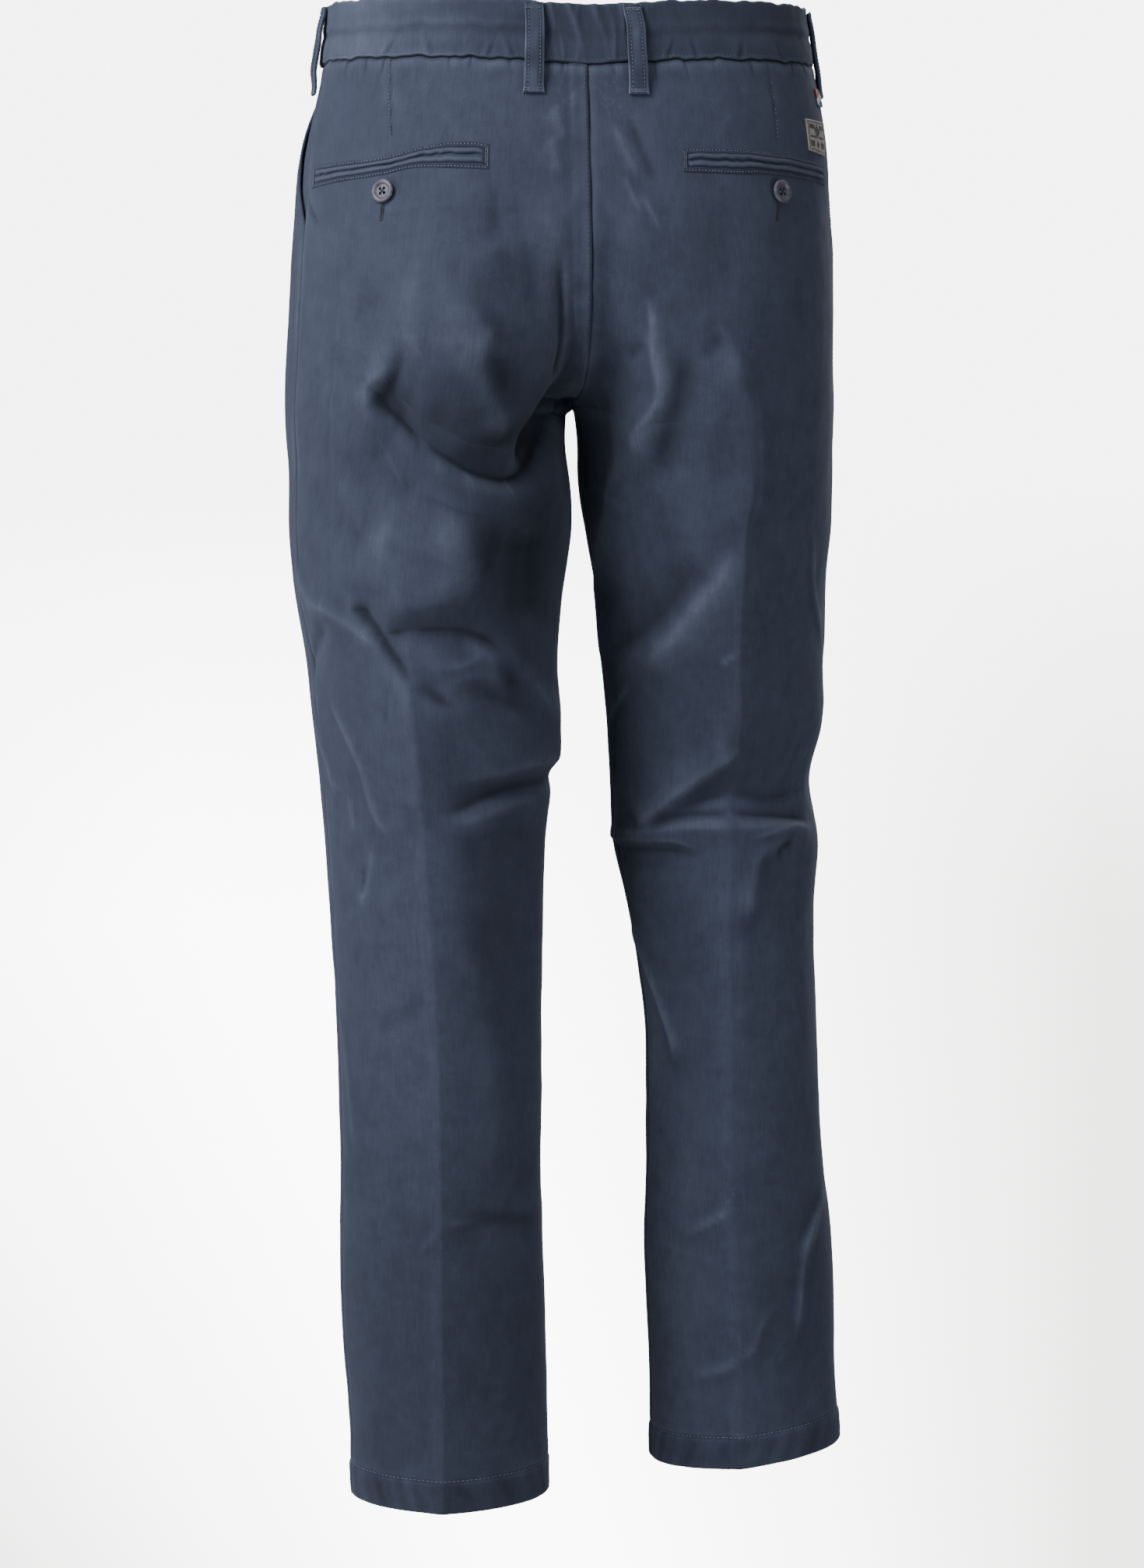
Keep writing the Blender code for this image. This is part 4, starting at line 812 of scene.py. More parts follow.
# %% Panel grids
CLOTH = 1.5 * MM
MOUTH_END = -0.127
MOUTH_TURN = -0.50
FLY_LIFT = 2.9 * MM
FLY_LAP = 4 * MM
FLY_END = -0.200
SEAT_CURVE_ROWS = np.radians(np.linspace(40, 90, 25))
LEG_ROWS = {
    "left": ((CROTCH, 42), (-0.300, 26), (-0.365, 62), (-0.455, 34), (-0.520, 110)),
    "right": ((CROTCH, 56), (-0.450, 92), (-0.560, 112)),
}


SEAT_FOLD_ROW = -0.272
SEAT_FOLD = ((0.68, -0.234), (0.79, -0.250), (1.01, -0.271), (1.22, -0.289), (1.43, -0.295),
             (1.54, -0.291), (1.64, -0.284), (1.76, -0.272), (1.93, -0.258))


def on_the_cloth(side, turn, row):
    """The height of a row, which follows the waist seam, the fold under the seat and the hem."""
    hem = HEMS[side][0]
    down = waist_dip(side, turn) * (1 - ease(-row, -WAIST_SEAM, 0.16))
    up = (hem_height(side, turn) - hem) * ease(-row, -HEM_FADE_TOP, -hem)
    fold = 0
    if side == "left":
        fold = np.interp(turn, *zip(*SEAT_FOLD)) - SEAT_FOLD_ROW
        fold = (fold * ease(turn, 0, 0.5) * (1 - ease(turn, 1.75, 2))
                * bell(row - SEAT_FOLD_ROW, 0.055))
    return row + down + up + fold


def mouth_turn(row):
    """The turn of the slanted hand pocket's edge, 0 below its end."""
    return MOUTH_TURN * np.clip((row - MOUTH_END) / (WAIST_SEAM - MOUTH_END), 0, 1)


def fly_share(side, turn, row):
    """1 on the left front's own edge, which laps over the right one."""
    if side == "right":
        return 0 * turn
    return ease(-turn, 1.72, 1.86) * (1 - ease(-row, -FLY_END - 0.03, -FLY_END))


def panel_rows(side):
    hem = HEMS[side][0]
    seat = spans(((WAIST_SEAM, 7), (-0.030, 58), (-0.200, 0)))[:-1]
    top = SEAT_CURVE_TOP["back"]
    turning = top + (CROTCH - top) * np.sin(SEAT_CURVE_ROWS)[:-1]
    leg = spans((*LEG_ROWS[side], (hem + 25 * MM, 19), (hem, 0)))
    return np.concatenate([seat, turning, leg])


BACK_TURNS = spans(((0, 7), (0.05, 52), (0.94, 10), (1.06, 50), (1.94, 8), (2, 0)))
FRONT_NEAR_SHARES = spans(((0, 5), (0.06, 22), (0.95, 5), (1, 0)))
FRONT_FAR_SHARES = spans(((0, 5), (0.05, 23), (0.94, 7), (1, 0)))
print("a back panel:", len(panel_rows("left")), "rows by", len(BACK_TURNS), "columns")

# %% [markdown]
# Wear follows touch: seam shoulders, hem and pocket edges fade first, then the crests
# of the folds. The crests are found as the places that stand above a blurred copy of
# the surface, and the places that sink below it get painted shade, darkest in the creases.

# %% Build the panels
PANELS = {}
# Soft patches of painted shade (below 0) and painted light (above 0): turn, height,
# their two half sizes in turns and metres, and strength.
PAINTED_LIGHT_AND_SHADE = {
    "left": ((1.62, -0.245, 0.20, 0.035, -1.2), (1.02, -0.252, 0.22, 0.014, -0.6),
             (1.35, -0.275, 0.20, 0.014, -0.5), (1.68, -0.268, 0.15, 0.012, -1.0),
             (1.58, -0.345, 0.26, 0.060, -1.5), (1.34, -0.222, 0.08, 0.020, -1.0),
             (1.25, -0.437, 0.20, 0.030, -0.3), (0.80, -0.880, 0.60, 0.120, -0.5),
             (0.40, -0.955, 0.40, 0.030, -0.3), (1.35, -0.580, 0.30, 0.080, -0.7),
             (1.50, -0.860, 0.40, 0.090, -0.4), (0.30, -0.800, 0.40, 0.160, -0.3),
             (1.75, -0.150, 0.12, 0.040, 0.3)),
    "right": ((1.28, -0.148, 0.20, 0.050, -0.7), (1.85, -0.665, 0.25, 0.080, 1.1),
              (1.60, -0.850, 0.40, 0.120, 0.5), (1.35, -0.498, 0.20, 0.020, 0.5),
              (1.15, -0.390, 0.15, 0.040, 0.3), (1.85, -0.330, 0.20, 0.050, 0.4),
              (0.60, -0.870, 0.35, 0.080, -0.4)),
}


def seam_wear_and_painted_shade(side, turn, height):
    at_side, at_centre, at_waist, at_hem = seam_distances(side, turn, height)
    along = along_seam(height)
    patchy = 0.5 + 0.5 * puckers(0 * at_side, along, 0.030, 19)
    tone_change = 0.30 * bell(at_side - 3 * MM, 3 * MM) * patchy + 0.12 * bell(at_centre - 3 * MM, 3 * MM)
    tone_change += 0.15 * bell(at_waist - 4 * MM, 4 * MM) - 1.6 * bell(at_waist, 1.3 * MM)
    tone_change += 0.8 * bell(at_hem, 1.3 * MM) - 0.30 * (at_hem < HEM_STITCH)
    # Painted shade in the small pleats under the waist seam, then the soft patches of painted
    # shade and painted light.
    tone_change -= 0.5 * waist_nicks(side, turn, height)
    for at, level, wide, tall, strength in PAINTED_LIGHT_AND_SHADE[side]:
        tone_change += strength * bell(turn - at, wide) * bell(height - level, tall)
    ropes = puckers(0 * at_hem, turn * HEM_TURN + 0.30 * at_hem, 0.0070, 21)
    above_hem = bell(at_hem - HEM_STITCH - 1.5 * MM, 1.5 * MM)
    tone_change += 0.45 * ropes * (at_hem < HEM_STITCH) + 0.35 * above_hem
    return tone_change


def make_panel(side, face, turn):
    row = np.repeat(panel_rows(side)[:, None], turn.shape[1], 1)
    height = on_the_cloth(side, turn, row)
    fly = fly_share(side, turn, row)
    points = surface(side, turn, height, FLY_LIFT * fly)
    lapped = (turn < -1.98) & (fly > 0.9) & (row > FLY_END + 0.06)
    points[..., 0] -= np.where(lapped, FLY_LAP, 0)
    smooth = base_form(side, turn, height)
    normal = outward(side, turn, height)
    lift = ((points - smooth) * normal).sum(-1)
    # Crests above the blurred surface are worn pale; hollows below it get painted shade.
    broad = np.clip((lift - blurred(lift, 60)) / (1.2 * MM), -1.3, 1.3)
    fine = np.clip((lift - blurred(lift, 10)) / (0.5 * MM), -1.6, 2.0)
    off_crease = 1 - bell((np.abs(turn) - 1) * HIP_TURN, 6 * MM)
    crest_wear_and_crease_shade = (0.24 * broad + np.where(fine > 0, 0.38, 0.55) * fine) * off_crease
    wear_and_shade = crest_wear_and_crease_shade + seam_wear_and_painted_shade(side, turn, height)
    middle = int(np.argmin(np.abs(np.abs(turn[0]) - 1)))
    name = f"{side}_{face}_cloth"
    piece = grid_sheet(name, points, flat_map(smooth, middle), normal, wear_and_shade)
    thicken(piece, CLOTH)
    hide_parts(f"{side}_{face}")
    PANELS[side, face] = piece
    print(name, "points:", points.shape[:2])


for side in ("left", "right"):
    rows = panel_rows(side)[:, None]
    make_panel(side, "back", BACK_TURNS[None] + 0 * rows)
    mouth = mouth_turn(rows)
    near = mouth + (-1 - mouth) * FRONT_NEAR_SHARES[None]
    far = -1 - FRONT_FAR_SHARES[None] + 0 * rows
    make_panel(side, "front", np.concatenate([near, far[:, 1:]], 1))


# %% [markdown]
# ## Waistband
# The waistband is a strip of doubled cloth round the waist. An elastic in its middle
# part at the back draws it into slanted gathers, and the folded canvas inside shows as
# two soft ridges all the way round. Its edges are folds, so they are round.

# %% Waistband
SEAM_GAP = 0.3 * MM
BAND_LENGTH = 0.88
BAND_CLOTH = 2.6 * MM
BAND_PROUD = 0.8 * MM
BAND_LAP = 0.036
BAND_LAP_RISE = 0.022
BAND_LAP_LIFT = 3.8 * MM
BAND_STOPS = spans(((-BAND_LAP, 14), (-0.004, 12), (0.030, 190), (0.452, 84), (0.548, 196),
                    (1.0, 0)))
BAND_ROWS = spans(((WAIST_TOP, 5), (WAIST_TOP - 2 * MM, 16), (WAIST_SEAM + 2 * MM, 5),
                   (WAIST_SEAM, 1), (WAIST_SEAM - 0.8 * MM, 0)))
BAND_EDGE = 1.3 * MM
# The gathers: where each ridge crosses the top and the foot of the band, as metres of
# cloth left of the centre back, then its relief and its width in millimetres.
GATHERS = (
    (0.0330, 0.0250, 0.9, 2.4), (0.0235, 0.0160, 1.3, 2.6), (0.0165, 0.0145, 0.8, 1.9),
    (0.0090, 0.0010, 1.5, 2.8), (0.0030, 0.0065, 0.9, 1.9), (-0.0050, -0.0120, 1.4, 2.8),
    (-0.0125, -0.0170, 0.9, 2.0), (-0.0200, -0.0270, 1.4, 2.6), (-0.0280, -0.0315, 0.9, 2.2),
    (0.0430, 0.0390, 0.7, 4.0), (-0.0430, -0.0390, 0.7, 4.0),
)
# Pinches where the waist seam has caught the band: metres left of the centre back, lean.
PINCHES = ((0.049, 0.5), (0.071, -0.4), (0.118, 0.3), (0.152, -0.6), (-0.056, -0.5),
           (-0.083, 0.4), (-0.121, -0.3), (-0.160, 0.5))


def band_side(around):
    """Side and turn at a share of the way round the waistband, from its front end."""
    on_left = (around >= 0) & (around <= 0.5)
    turn = np.where(around < 0, -2 - 8 * around, 2 - 8 * (around - 0.5))
    return on_left, np.where(on_left, -2 + 8 * around, turn)


def band_lift(around, row):
    """The relief of the waistband: its inner ridges, gathers and rounded edges."""
    down = (WAIST_TOP - row) / (WAIST_TOP - WAIST_SEAM)
    length = around * BAND_LENGTH
    uneven = noise_over(length, row, (0.055, 0.012), 41)
    strong = 0.45 + 0.55 * ease(-noise_over(length, 0 * row, (0.09, 1), 44), -0.3, 0.5)
    lift = 0.60 * MM * np.exp(-((down - 0.43 - 0.05 * uneven) / 0.075) ** 2) * strong
    lift -= 0.45 * MM * np.exp(-((down - 0.55 - 0.05 * uneven) / 0.045) ** 2) * strong
    lift += 0.30 * MM * np.exp(-((down - 0.70) / 0.11) ** 2)
    lift += 0.50 * MM * uneven
    lift += 0.26 * MM * noise_over(length, row, (0.011, 0.014), 43)
    from_back = (0.5 - around) * BAND_LENGTH
    lift *= 1 - 0.7 * bell(from_back, 36 * MM)
    for top, foot, relief, width in GATHERS:
        at = top + (foot - top) * down
        bend = 1.3 * MM * np.sin(5 * down + 40 * top / MM)
        share = 0.62 + 0.38 * np.sin(4.2 * down + 70 * foot / MM)
        lift += 1.2 * relief * MM * bell(from_back - at - bend, 0.8 * width * MM) * share
    for at, lean in PINCHES:
        above = row - WAIST_SEAM
        across = from_back - at - lean * above
        pinch = bell(across, 1.6 * MM) - 0.5 * bell(across - 3.2 * MM, 2.2 * MM)
        lift -= 1.0 * MM * pinch * bell(above - 3 * MM, 8 * MM)
    lift *= ease(row - WAIST_SEAM, 0, 2.5 * MM)
    from_edge = np.minimum(WAIST_TOP - row, row - WAIST_SEAM)
    lift -= BAND_EDGE * np.clip(1 - from_edge / BAND_EDGE, 0, 1) ** 2
    lift -= 0.35 * MM * bell(row - WAIST_SEAM - 2.2 * MM, 0.9 * MM)
    return lift


def band_points(around, row, offset):
    around, row, offset = np.broadcast_arrays(around, row, offset)
    on_left, turn = band_side(around)
    lift = band_lift(around, row) + offset
    lift = lift + BAND_LAP_LIFT * (1 - ease(around, 0, BAND_LAP_RISE))
    places = {}
    for side in ("left", "right"):
        height = row + waist_dip(side, turn)
        places[side] = (base_form(side, turn, height)
                        + outward(side, turn, height) * (lift + BAND_PROUD)[..., None])
    points = np.where(on_left[..., None], places["left"], places["right"])
    wobble = 0.9 * MM * noise_over(around * BAND_LENGTH, 0 * row, (0.02, 1), 47)
    near_back = bell((0.5 - around) * BAND_LENGTH, 34 * MM)
    points[..., 2] += wobble * near_back * ease(row, 0, WAIST_TOP)
    points[..., 0] -= np.where(around > 0.9999, SEAM_GAP, 0)
    return points


around, row = np.meshgrid(BAND_STOPS, BAND_ROWS)
points = band_points(around, row, 0)
flat = np.stack([around * BAND_LENGTH, row], -1)
lift = band_lift(around, row)
edge = 0.7 * bell(WAIST_TOP - row, 1.5 * MM) + 0.5 * bell(row - WAIST_SEAM, 2.5 * MM)
edge -= 3.0 * (row < WAIST_SEAM + 0.2 * MM)
# The band's crests are worn pale and its gathers get painted shade. From the left back round to
# the right end the band gets painted shade, and just behind the left side seam painted light.
crest_wear_and_crease_shade = np.clip((lift - blurred(lift, 30)) / (0.4 * MM), -1.2, 1.5)
wear_and_shade = (0.3 * crest_wear_and_crease_shade + edge - 0.55 * ease(around, 0.36, 0.44)
        + 0.6 * bell(around - 0.29, 0.045))
band = grid_sheet("waistband_cloth", points, flat, band_points(around, row, 1 * MM) - points, wear_and_shade)
thicken(band, BAND_CLOTH)
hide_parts("waistband")
print("waistband:", points.shape[:2], "points")

# %% [markdown]
# ## Belt loops
# A belt loop is a folded strap, 12 mm wide, stitched down at both ends and standing off
# the band between them. The strap is thicker in its middle, where the fold inside
# doubles it, and its foot spreads a little under the tack.

# %% Belt loops
FACING_INSET = 2.5 * MM
FACING_FLUSH_END = MOUTH_END + 6 * MM
LOOP_WIDTH = 12 * MM
LOOP_STRAP = {"back": 1.8 * MM, "side": 2.7 * MM, "front": 1.8 * MM}
LOOP_TOP = 0.0175
LOOP_END = -0.0405
SIDE_SLACK = {"left": 0.80, "right": 0.40}
LOOP_TURNS = {"back": {"left": 1.69, "right": 1.72}, "side": {"left": -0.10, "right": -0.10},
              "front": {"left": -1.05, "right": -1.05}}
LOOP_LEAN = {("back", "right"): 1.6 * MM, ("back", "left"): -0.5 * MM}
LOOP = columns("""
height stand_off
    17       1.2
  12.5       1.4
   8.5       2.7
     4       3.5
    -6       3.7
   -18       3.8
 -25.5       3.5
 -31.5       1.9
   -37       0.5
   -43       0.4""")
LOOP_FOOT_TOP = -0.020


def facing_inset(turn, row):
    """How deep the pocket facing lies: flush at the side seam, deep under the front."""
    edge = mouth_turn(row - (FACING_FLUSH_END - MOUTH_END))
    return FACING_INSET * ease(-turn, 0, 1e-5 - 0.55 * edge)


def turns_per_metre(side, turn, height):
    ends = base_form(side, np.array([turn - 0.05, turn + 0.05]), np.array([height] * 2))
    return 0.1 / np.linalg.norm(ends[1] - ends[0])


def loop_points(side, place, row, across, lift):
    """Places on a belt loop's strap: across runs from -0.5 to 0.5 of its width."""
    middle = LOOP_TURNS[place][side]
    foot = ease(-row, 0.034, 0.042)
    lean = LOOP_LEAN.get((place, side), 0) * ease(row, 0, WAIST_TOP)
    width = LOOP_WIDTH * (1 + 0.10 * foot)
    turn = middle + (across * width + lean) * turns_per_metre(side, middle, 0.0)
    turn, row = np.broadcast_arrays(turn, row)
    stand_off = read_column(LOOP, "stand_off", row)
    if place == "side":
        sunk = facing_inset(turn, row) * ease(-row, -LOOP_FOOT_TOP, 0.036)
        stand_off = 0.6 * MM + SIDE_SLACK[side] * stand_off - sunk
    height = row + waist_dip(side, middle)
    return (base_form(side, turn, height)
            + outward(side, turn, height) * (stand_off + lift)[..., None])


LOOP_ROWS = spans(((LOOP_TOP, 4), (0.0145, 34), (LOOP_END + 3.5 * MM, 5), (LOOP_END, 0)))
LOOP_ACROSS = spans(((-0.5, 3), (-0.42, 9), (0.42, 3), (0.5, 0)))
for place, turns in LOOP_TURNS.items():
    for side, middle in turns.items():
        across, row = np.meshgrid(LOOP_ACROSS, LOOP_ROWS)
        seed = len(place) + (7 if side == "left" else 31)
        ripple = noise_over(across * LOOP_WIDTH, row, (0.006, 0.010), seed, seed)
        dome = 0.45 * MM * (1 - (2 * across) ** 4) + 0.22 * MM * ripple
        groove = bell((np.abs(across) - 0.30) * LOOP_WIDTH, 0.8 * MM)
        lift = LOOP_STRAP[place] + dome - 0.45 * MM * groove
        lift -= 0.6 * MM * np.clip(1 - (LOOP_TOP - row) / (1.4 * MM), 0, 1) ** 2
        lift -= 0.6 * MM * np.clip(1 - (row - LOOP_END) / (1.4 * MM), 0, 1) ** 2
        points = loop_points(side, place, row, across, lift)
        away = loop_points(side, place, row, across, lift + MM) - points
        # The strap's edges and foot are worn pale; the grooves beside the stitches get painted
        # shade.
        wear_and_shade = 1.4 * (np.abs(across) > 0.45) + 0.6 * ripple - 0.15 - 0.9 * groove
        wear_and_shade += 0.8 * bell(row - LOOP_END, 1.2 * MM)
        flat = np.stack([across * LOOP_WIDTH, row], -1)
        loop = grid_sheet(f"{place}_loop_{side}_cloth", points, flat, away, wear_and_shade)
        thicken(loop, LOOP_STRAP[place] - 0.1 * MM)
        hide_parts(f"belt_loop_{place}_{side}")
print("belt loops: 6")

# %% [markdown]
# ## Hand pocket facings
# The front panels are cut away at a slant for the hands. A second piece of the same
# cloth fills the place behind each mouth, a little deeper than the panel over it.

# %% Pocket facings
FACING_UNDERLAP = 0.09
FACING_END = -0.140
FACING_ROWS = spans(((WAIST_SEAM, 52), (FACING_END, 0)))
FACING_SHARES = spans(((0, 34), (1, 0)))
for side in ("left", "right"):
    share, row = np.meshgrid(FACING_SHARES, FACING_ROWS)
    turn = (mouth_turn(row) - FACING_UNDERLAP) * share
    height = on_the_cloth(side, turn, row)
    inset = facing_inset(turn, row) + 0.7 * MM * (share > 0.02)
    points = surface(side, turn, height, -inset)
    flat = flat_map(base_form(side, turn, height), 0)
    facing = grid_sheet(f"facing_{side}_cloth", points, flat, outward(side, turn, height))
    thicken(facing, CLOTH)
    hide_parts(f"pocket_facing_{side}")
print("pocket facings: 2")

# %% [markdown]
# ## Back pockets
# A double jet pocket is a slit with a narrow folded lip above and below it, framed by
# stitching. Each frame is one sheet: its lips are two soft rolls, the slit between them
# is a sharp groove darkened with painted shade, and the ends are pressed flat.

# %% Back pocket frames
POCKET_LINES = {
    "left": columns("""
turn   top  slit  foot
1.41 -76.5   -85 -93.5
1.25   -75   -84   -93
1.08 -75.5 -83.5 -92.5
0.85   -80 -86.5 -92.5
0.72 -83.5 -89.3 -95.5
 0.4 -86.2 -92.5 -99.2
0.08   -88 -95.5  -103"""),
    "right": columns("""
turn   top  slit  foot
1.45 -78.5 -86.2   -94
1.22   -78   -86 -94.3
   1 -78.2 -86.2 -94.8
0.84 -79.2 -86.6   -94
0.71 -80.2 -87.2 -94.8
0.45 -82.8 -89.3 -96.8
0.17   -85   -92 -99.2"""),
}
POCKET_LENGTH = 0.125
POCKET_HALF = 8.5
# How far the stitch row and the fold of the jets lie from the frame's rim.
POCKET_ROW = 1.6 * MM
POCKET_FOLD = 3.7 * MM
POCKET_LIFT = 0.9 * MM
POCKET_ACROSS = spans(((0, 8), (0.05, 126), (0.95, 8), (1, 0)))
POCKET_DOWN = spans(((1, 4), (0.86, 10), (0.10, 5), (-0.10, 10), (-0.86, 4), (-1, 0)))


def pocket_places(side, across, down):
    """Turn and height in a pocket frame: across 0 to 1, down from 1 at the top to -1."""
    outer, *_, inner = POCKET_LINES[side]["turn"]
    turn = outer + (inner - outer) * across
    top, slit, foot = (
        read_column(POCKET_LINES[side], name, turn) for name in ("top", "slit", "foot"))
    sway = 0.5 * MM * noise_over(turn * HIP_TURN, 0 * turn, (0.016, 1), 53)
    sway = sway + 0.45 * MM * noise_over(turn * HIP_TURN, 0 * turn, (0.0045, 1), 54)
    height = np.where(down > 0, slit + (top - slit) * down, slit + (slit - foot) * down)
    return turn, height + sway * (1 - np.abs(down))


def pocket_lift(side, across, down):
    from_end = np.minimum(across, 1 - across) * POCKET_LENGTH
    from_rim = (1 - np.abs(down)) * POCKET_HALF * MM
    inside = ease(from_end, 4 * MM, 7 * MM)
    rim = np.minimum(from_end, from_rim)
    uneven = noise_over(across * POCKET_LENGTH, down * 8 * MM, (0.010, 0.006), 59, len(side))
    lips = 0.9 * MM * bell(np.abs(down) - 0.34, 0.30) * inside * (1 + 0.35 * uneven)
    slit = 2.1 * MM * bell(down * POCKET_HALF * MM, 0.75 * MM) * inside
    lift = POCKET_LIFT + lips - slit + 0.18 * MM * uneven
    lift -= (0.50 * MM * bell(rim - POCKET_ROW, 0.8 * MM)
             + 0.60 * MM * bell(rim - POCKET_FOLD, 0.6 * MM))
    lift -= 1.1 * MM * np.clip(1 - rim / (1.1 * MM), 0, 1) ** 2
    return lift, slit, rim, inside


for side in ("left", "right"):
    across, down = np.meshgrid(POCKET_ACROSS, POCKET_DOWN)
    turn, height = pocket_places(side, across, down)
    lift, slit, rim, inside = pocket_lift(side, across, down)
    points = surface(side, turn, height, lift)
    flat = np.stack([turn * SEAT_TURN, height], -1)
    # The lips are worn pale; the slit, the stitch grooves and the rim get painted shade.
    wear_and_shade = 0.5 * bell(np.abs(down) - 0.34, 0.16) * inside - 3 * slit / (2 * MM)
    wear_and_shade -= 1.5 * bell(rim - POCKET_ROW, 0.8 * MM) + 2.0 * bell(rim - POCKET_FOLD, 0.6 * MM)
    wear_and_shade -= 1.2 * np.clip(1 - rim / (0.8 * MM), 0, 1)
    frame_piece = grid_sheet(f"back_pocket_frame_{side}", points, flat,
                             outward(side, turn, height), wear_and_shade)
    thicken(frame_piece, 1.2 * MM)
    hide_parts(f"back_pocket_{side}_upper_jet", f"back_pocket_{side}_lower_jet")
print("back pocket frames: 2")

# %% [markdown]
# ## Buttons
# A trouser button is a moulded disc with a raised rim, a sunk middle and four holes. A
# profile is spun round the axis, and four small cylinders are taken out of it.

# %% Buttons
BUTTON_RADIUS = {"back": 7.75 * MM, "waist": 8.5 * MM}
BUTTON_PLACES = {"left": (0.72, -0.1065), "right": (0.72, -0.1055)}
BUTTON_PROFILE = ((0.0, 1.9), (0.40, 1.9), (0.55, 1.75), (0.62, 2.2), (0.72, 2.75), (0.84, 2.95),
                  (0.94, 2.6), (1.0, 1.9), (0.985, 1.1), (0.92, 0.5), (0.75, 0.1), (0.0, 0.0))
BUTTON_SEGMENTS = 56
HOLE_RADIUS = 1.0 * MM
HOLE_SPACING = 1.5 * MM
WAIST_BUTTON_AROUND = -0.016
BUTTONS = []


def mesh_piece(name, bm):
    mesh = bpy.data.meshes.new(name)
    bm.to_mesh(mesh)
    bm.free()
    piece = bpy.data.objects.new(name, mesh)
    bpy.context.scene.collection.objects.link(piece)
    return piece


def spun_piece(name, profile, steps, merged):
    """A profile of radii and heights, spun round the vertical axis."""
    bm = bmesh.new()
    points = [bm.verts.new((radius, 0, height)) for radius, height in profile]
    edges = [bm.edges.new(pair) for pair in zip(points, points[1:])]
    bmesh.ops.spin(bm, geom=points + edges, cent=(0, 0, 0), axis=(0, 0, 1), steps=steps,
                   angle=2 * math.pi, use_merge=True)
    bmesh.ops.remove_doubles(bm, verts=bm.verts[:], dist=merged)
    bmesh.ops.recalc_face_normals(bm, faces=bm.faces[:])
    return mesh_piece(name, bm)


def button_piece(name, radius, place, normal, twist):
    profile = [(share * radius, rise * MM) for share, rise in BUTTON_PROFILE]
    disc = spun_piece(name, profile, BUTTON_SEGMENTS, 0.02 * MM)
    bm = bmesh.new()
    for x in (-HOLE_SPACING, HOLE_SPACING):
        for y in (-HOLE_SPACING, HOLE_SPACING):
            bmesh.ops.create_cone(bm, cap_ends=True, segments=16, radius1=HOLE_RADIUS,
                                  radius2=HOLE_RADIUS, depth=10 * MM,
                                  matrix=Matrix.Translation((x, y, 0)))
    holes = mesh_piece("holes", bm)
    cut = disc.modifiers.new("holes", "BOOLEAN")
    cut.operation = "DIFFERENCE"
    cut.solver = "EXACT"
    cut.object = holes
    bpy.context.view_layer.update()
    solved = disc.evaluated_get(bpy.context.evaluated_depsgraph_get())
    pierced = bpy.data.meshes.new_from_object(solved)
    disc.modifiers.clear()
    disc.data = pierced
    bpy.data.objects.remove(holes)
    turn = Vector(normal).to_track_quat("Z", "Y").to_matrix().to_4x4()
    at = Matrix.Translation(place) @ turn @ Matrix.Rotation(twist, 4, "Z")
    pierced.transform(at)
    pierced.shade_smooth()
    pierced.set_sharp_from_angle(angle=math.radians(38))
    rim = disc.modifiers.new("soft rim", "BEVEL")
    rim.width = 0.12 * MM
    rim.segments = 2
    rim.limit_method = "ANGLE"
    rim.angle_limit = math.radians(50)
    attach(disc, "root")
    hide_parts(name.replace("_moulded", ""))
    BUTTONS.append((disc, at))


for side, (turn, height) in BUTTON_PLACES.items():
    turn, height = np.array([turn]), np.array([height])
    place = base_form(side, turn, height)[0] + outward(side, turn, height)[0] * 1.0 * MM
    button_piece(f"back_button_{side}_moulded", BUTTON_RADIUS["back"], place,
                 outward(side, turn, height)[0] + np.array([0, 0, -0.05]), 0.12)
around = np.array([WAIST_BUTTON_AROUND])
place = band_points(around, np.array([0.0]), 0.2 * MM)[0]
button_piece("waist_button_moulded", BUTTON_RADIUS["waist"], place,
             outward("right", band_side(around)[1], np.array([0.0]))[0], 0.3)
print("buttons:", len(BUTTONS))

# %% [markdown]
# ## Side label and tape
# Above the right back pocket sits a small canvas label, and a short piece of striped
# tape is caught in the seam under the side loop. Both follow the cloth they lie on.

# %% Label and tape
LABEL_CORNERS = ((0.41, -0.056), (0.10, -0.057), (0.15, -0.080), (0.41, -0.077))
TAPE_CORNERS = ((0.14, -0.035), (0.01, -0.035), (0.01, -0.047), (0.14, -0.047))


def patch_places(corners, across, down):
    """Turn and height between four corners: top far, top near, bottom near, bottom far."""
    top_far, top_near, low_near, low_far = np.array(corners)
    top = top_far + (top_near - top_far) * across[..., None]
    low = low_far + (low_near - low_far) * across[..., None]
    places = top + (low - top) * down[..., None]
    return places[..., 0], places[..., 1]


def patch_sheet(name, node, corners, columns, rows, lift, thickness):
    across, down = np.meshgrid(np.linspace(0, 1, columns), np.linspace(0, 1, rows))
    turn, height = patch_places(corners, across, down)
    rim = np.minimum(np.minimum(across, 1 - across) * 1.3, np.minimum(down, 1 - down)) * 20 * MM
    bend = 0.35 * MM * noise_over(across, down, (0.4, 0.45), 61)
    rounded = 0.4 * MM * np.clip(1 - rim / (0.7 * MM), 0, 1) ** 2
    points = surface("right", turn, height, lift + thickness + bend - rounded)
    piece = grid_sheet(name, points, np.stack([across, 1 - down], -1),
                       outward("right", turn, height), 0.4 * bell(rim, 1.2 * MM))
    thicken(piece, thickness)
    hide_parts(node)
    return piece


label = patch_sheet("side_label_canvas", "side_label", LABEL_CORNERS, 60, 40, 0.45 * MM, 0.8 * MM)
tape = patch_sheet("side_tape_ribbon", "side_tape", TAPE_CORNERS, 24, 20, 0.6 * MM, 0.6 * MM)
print("label and tape: 2")


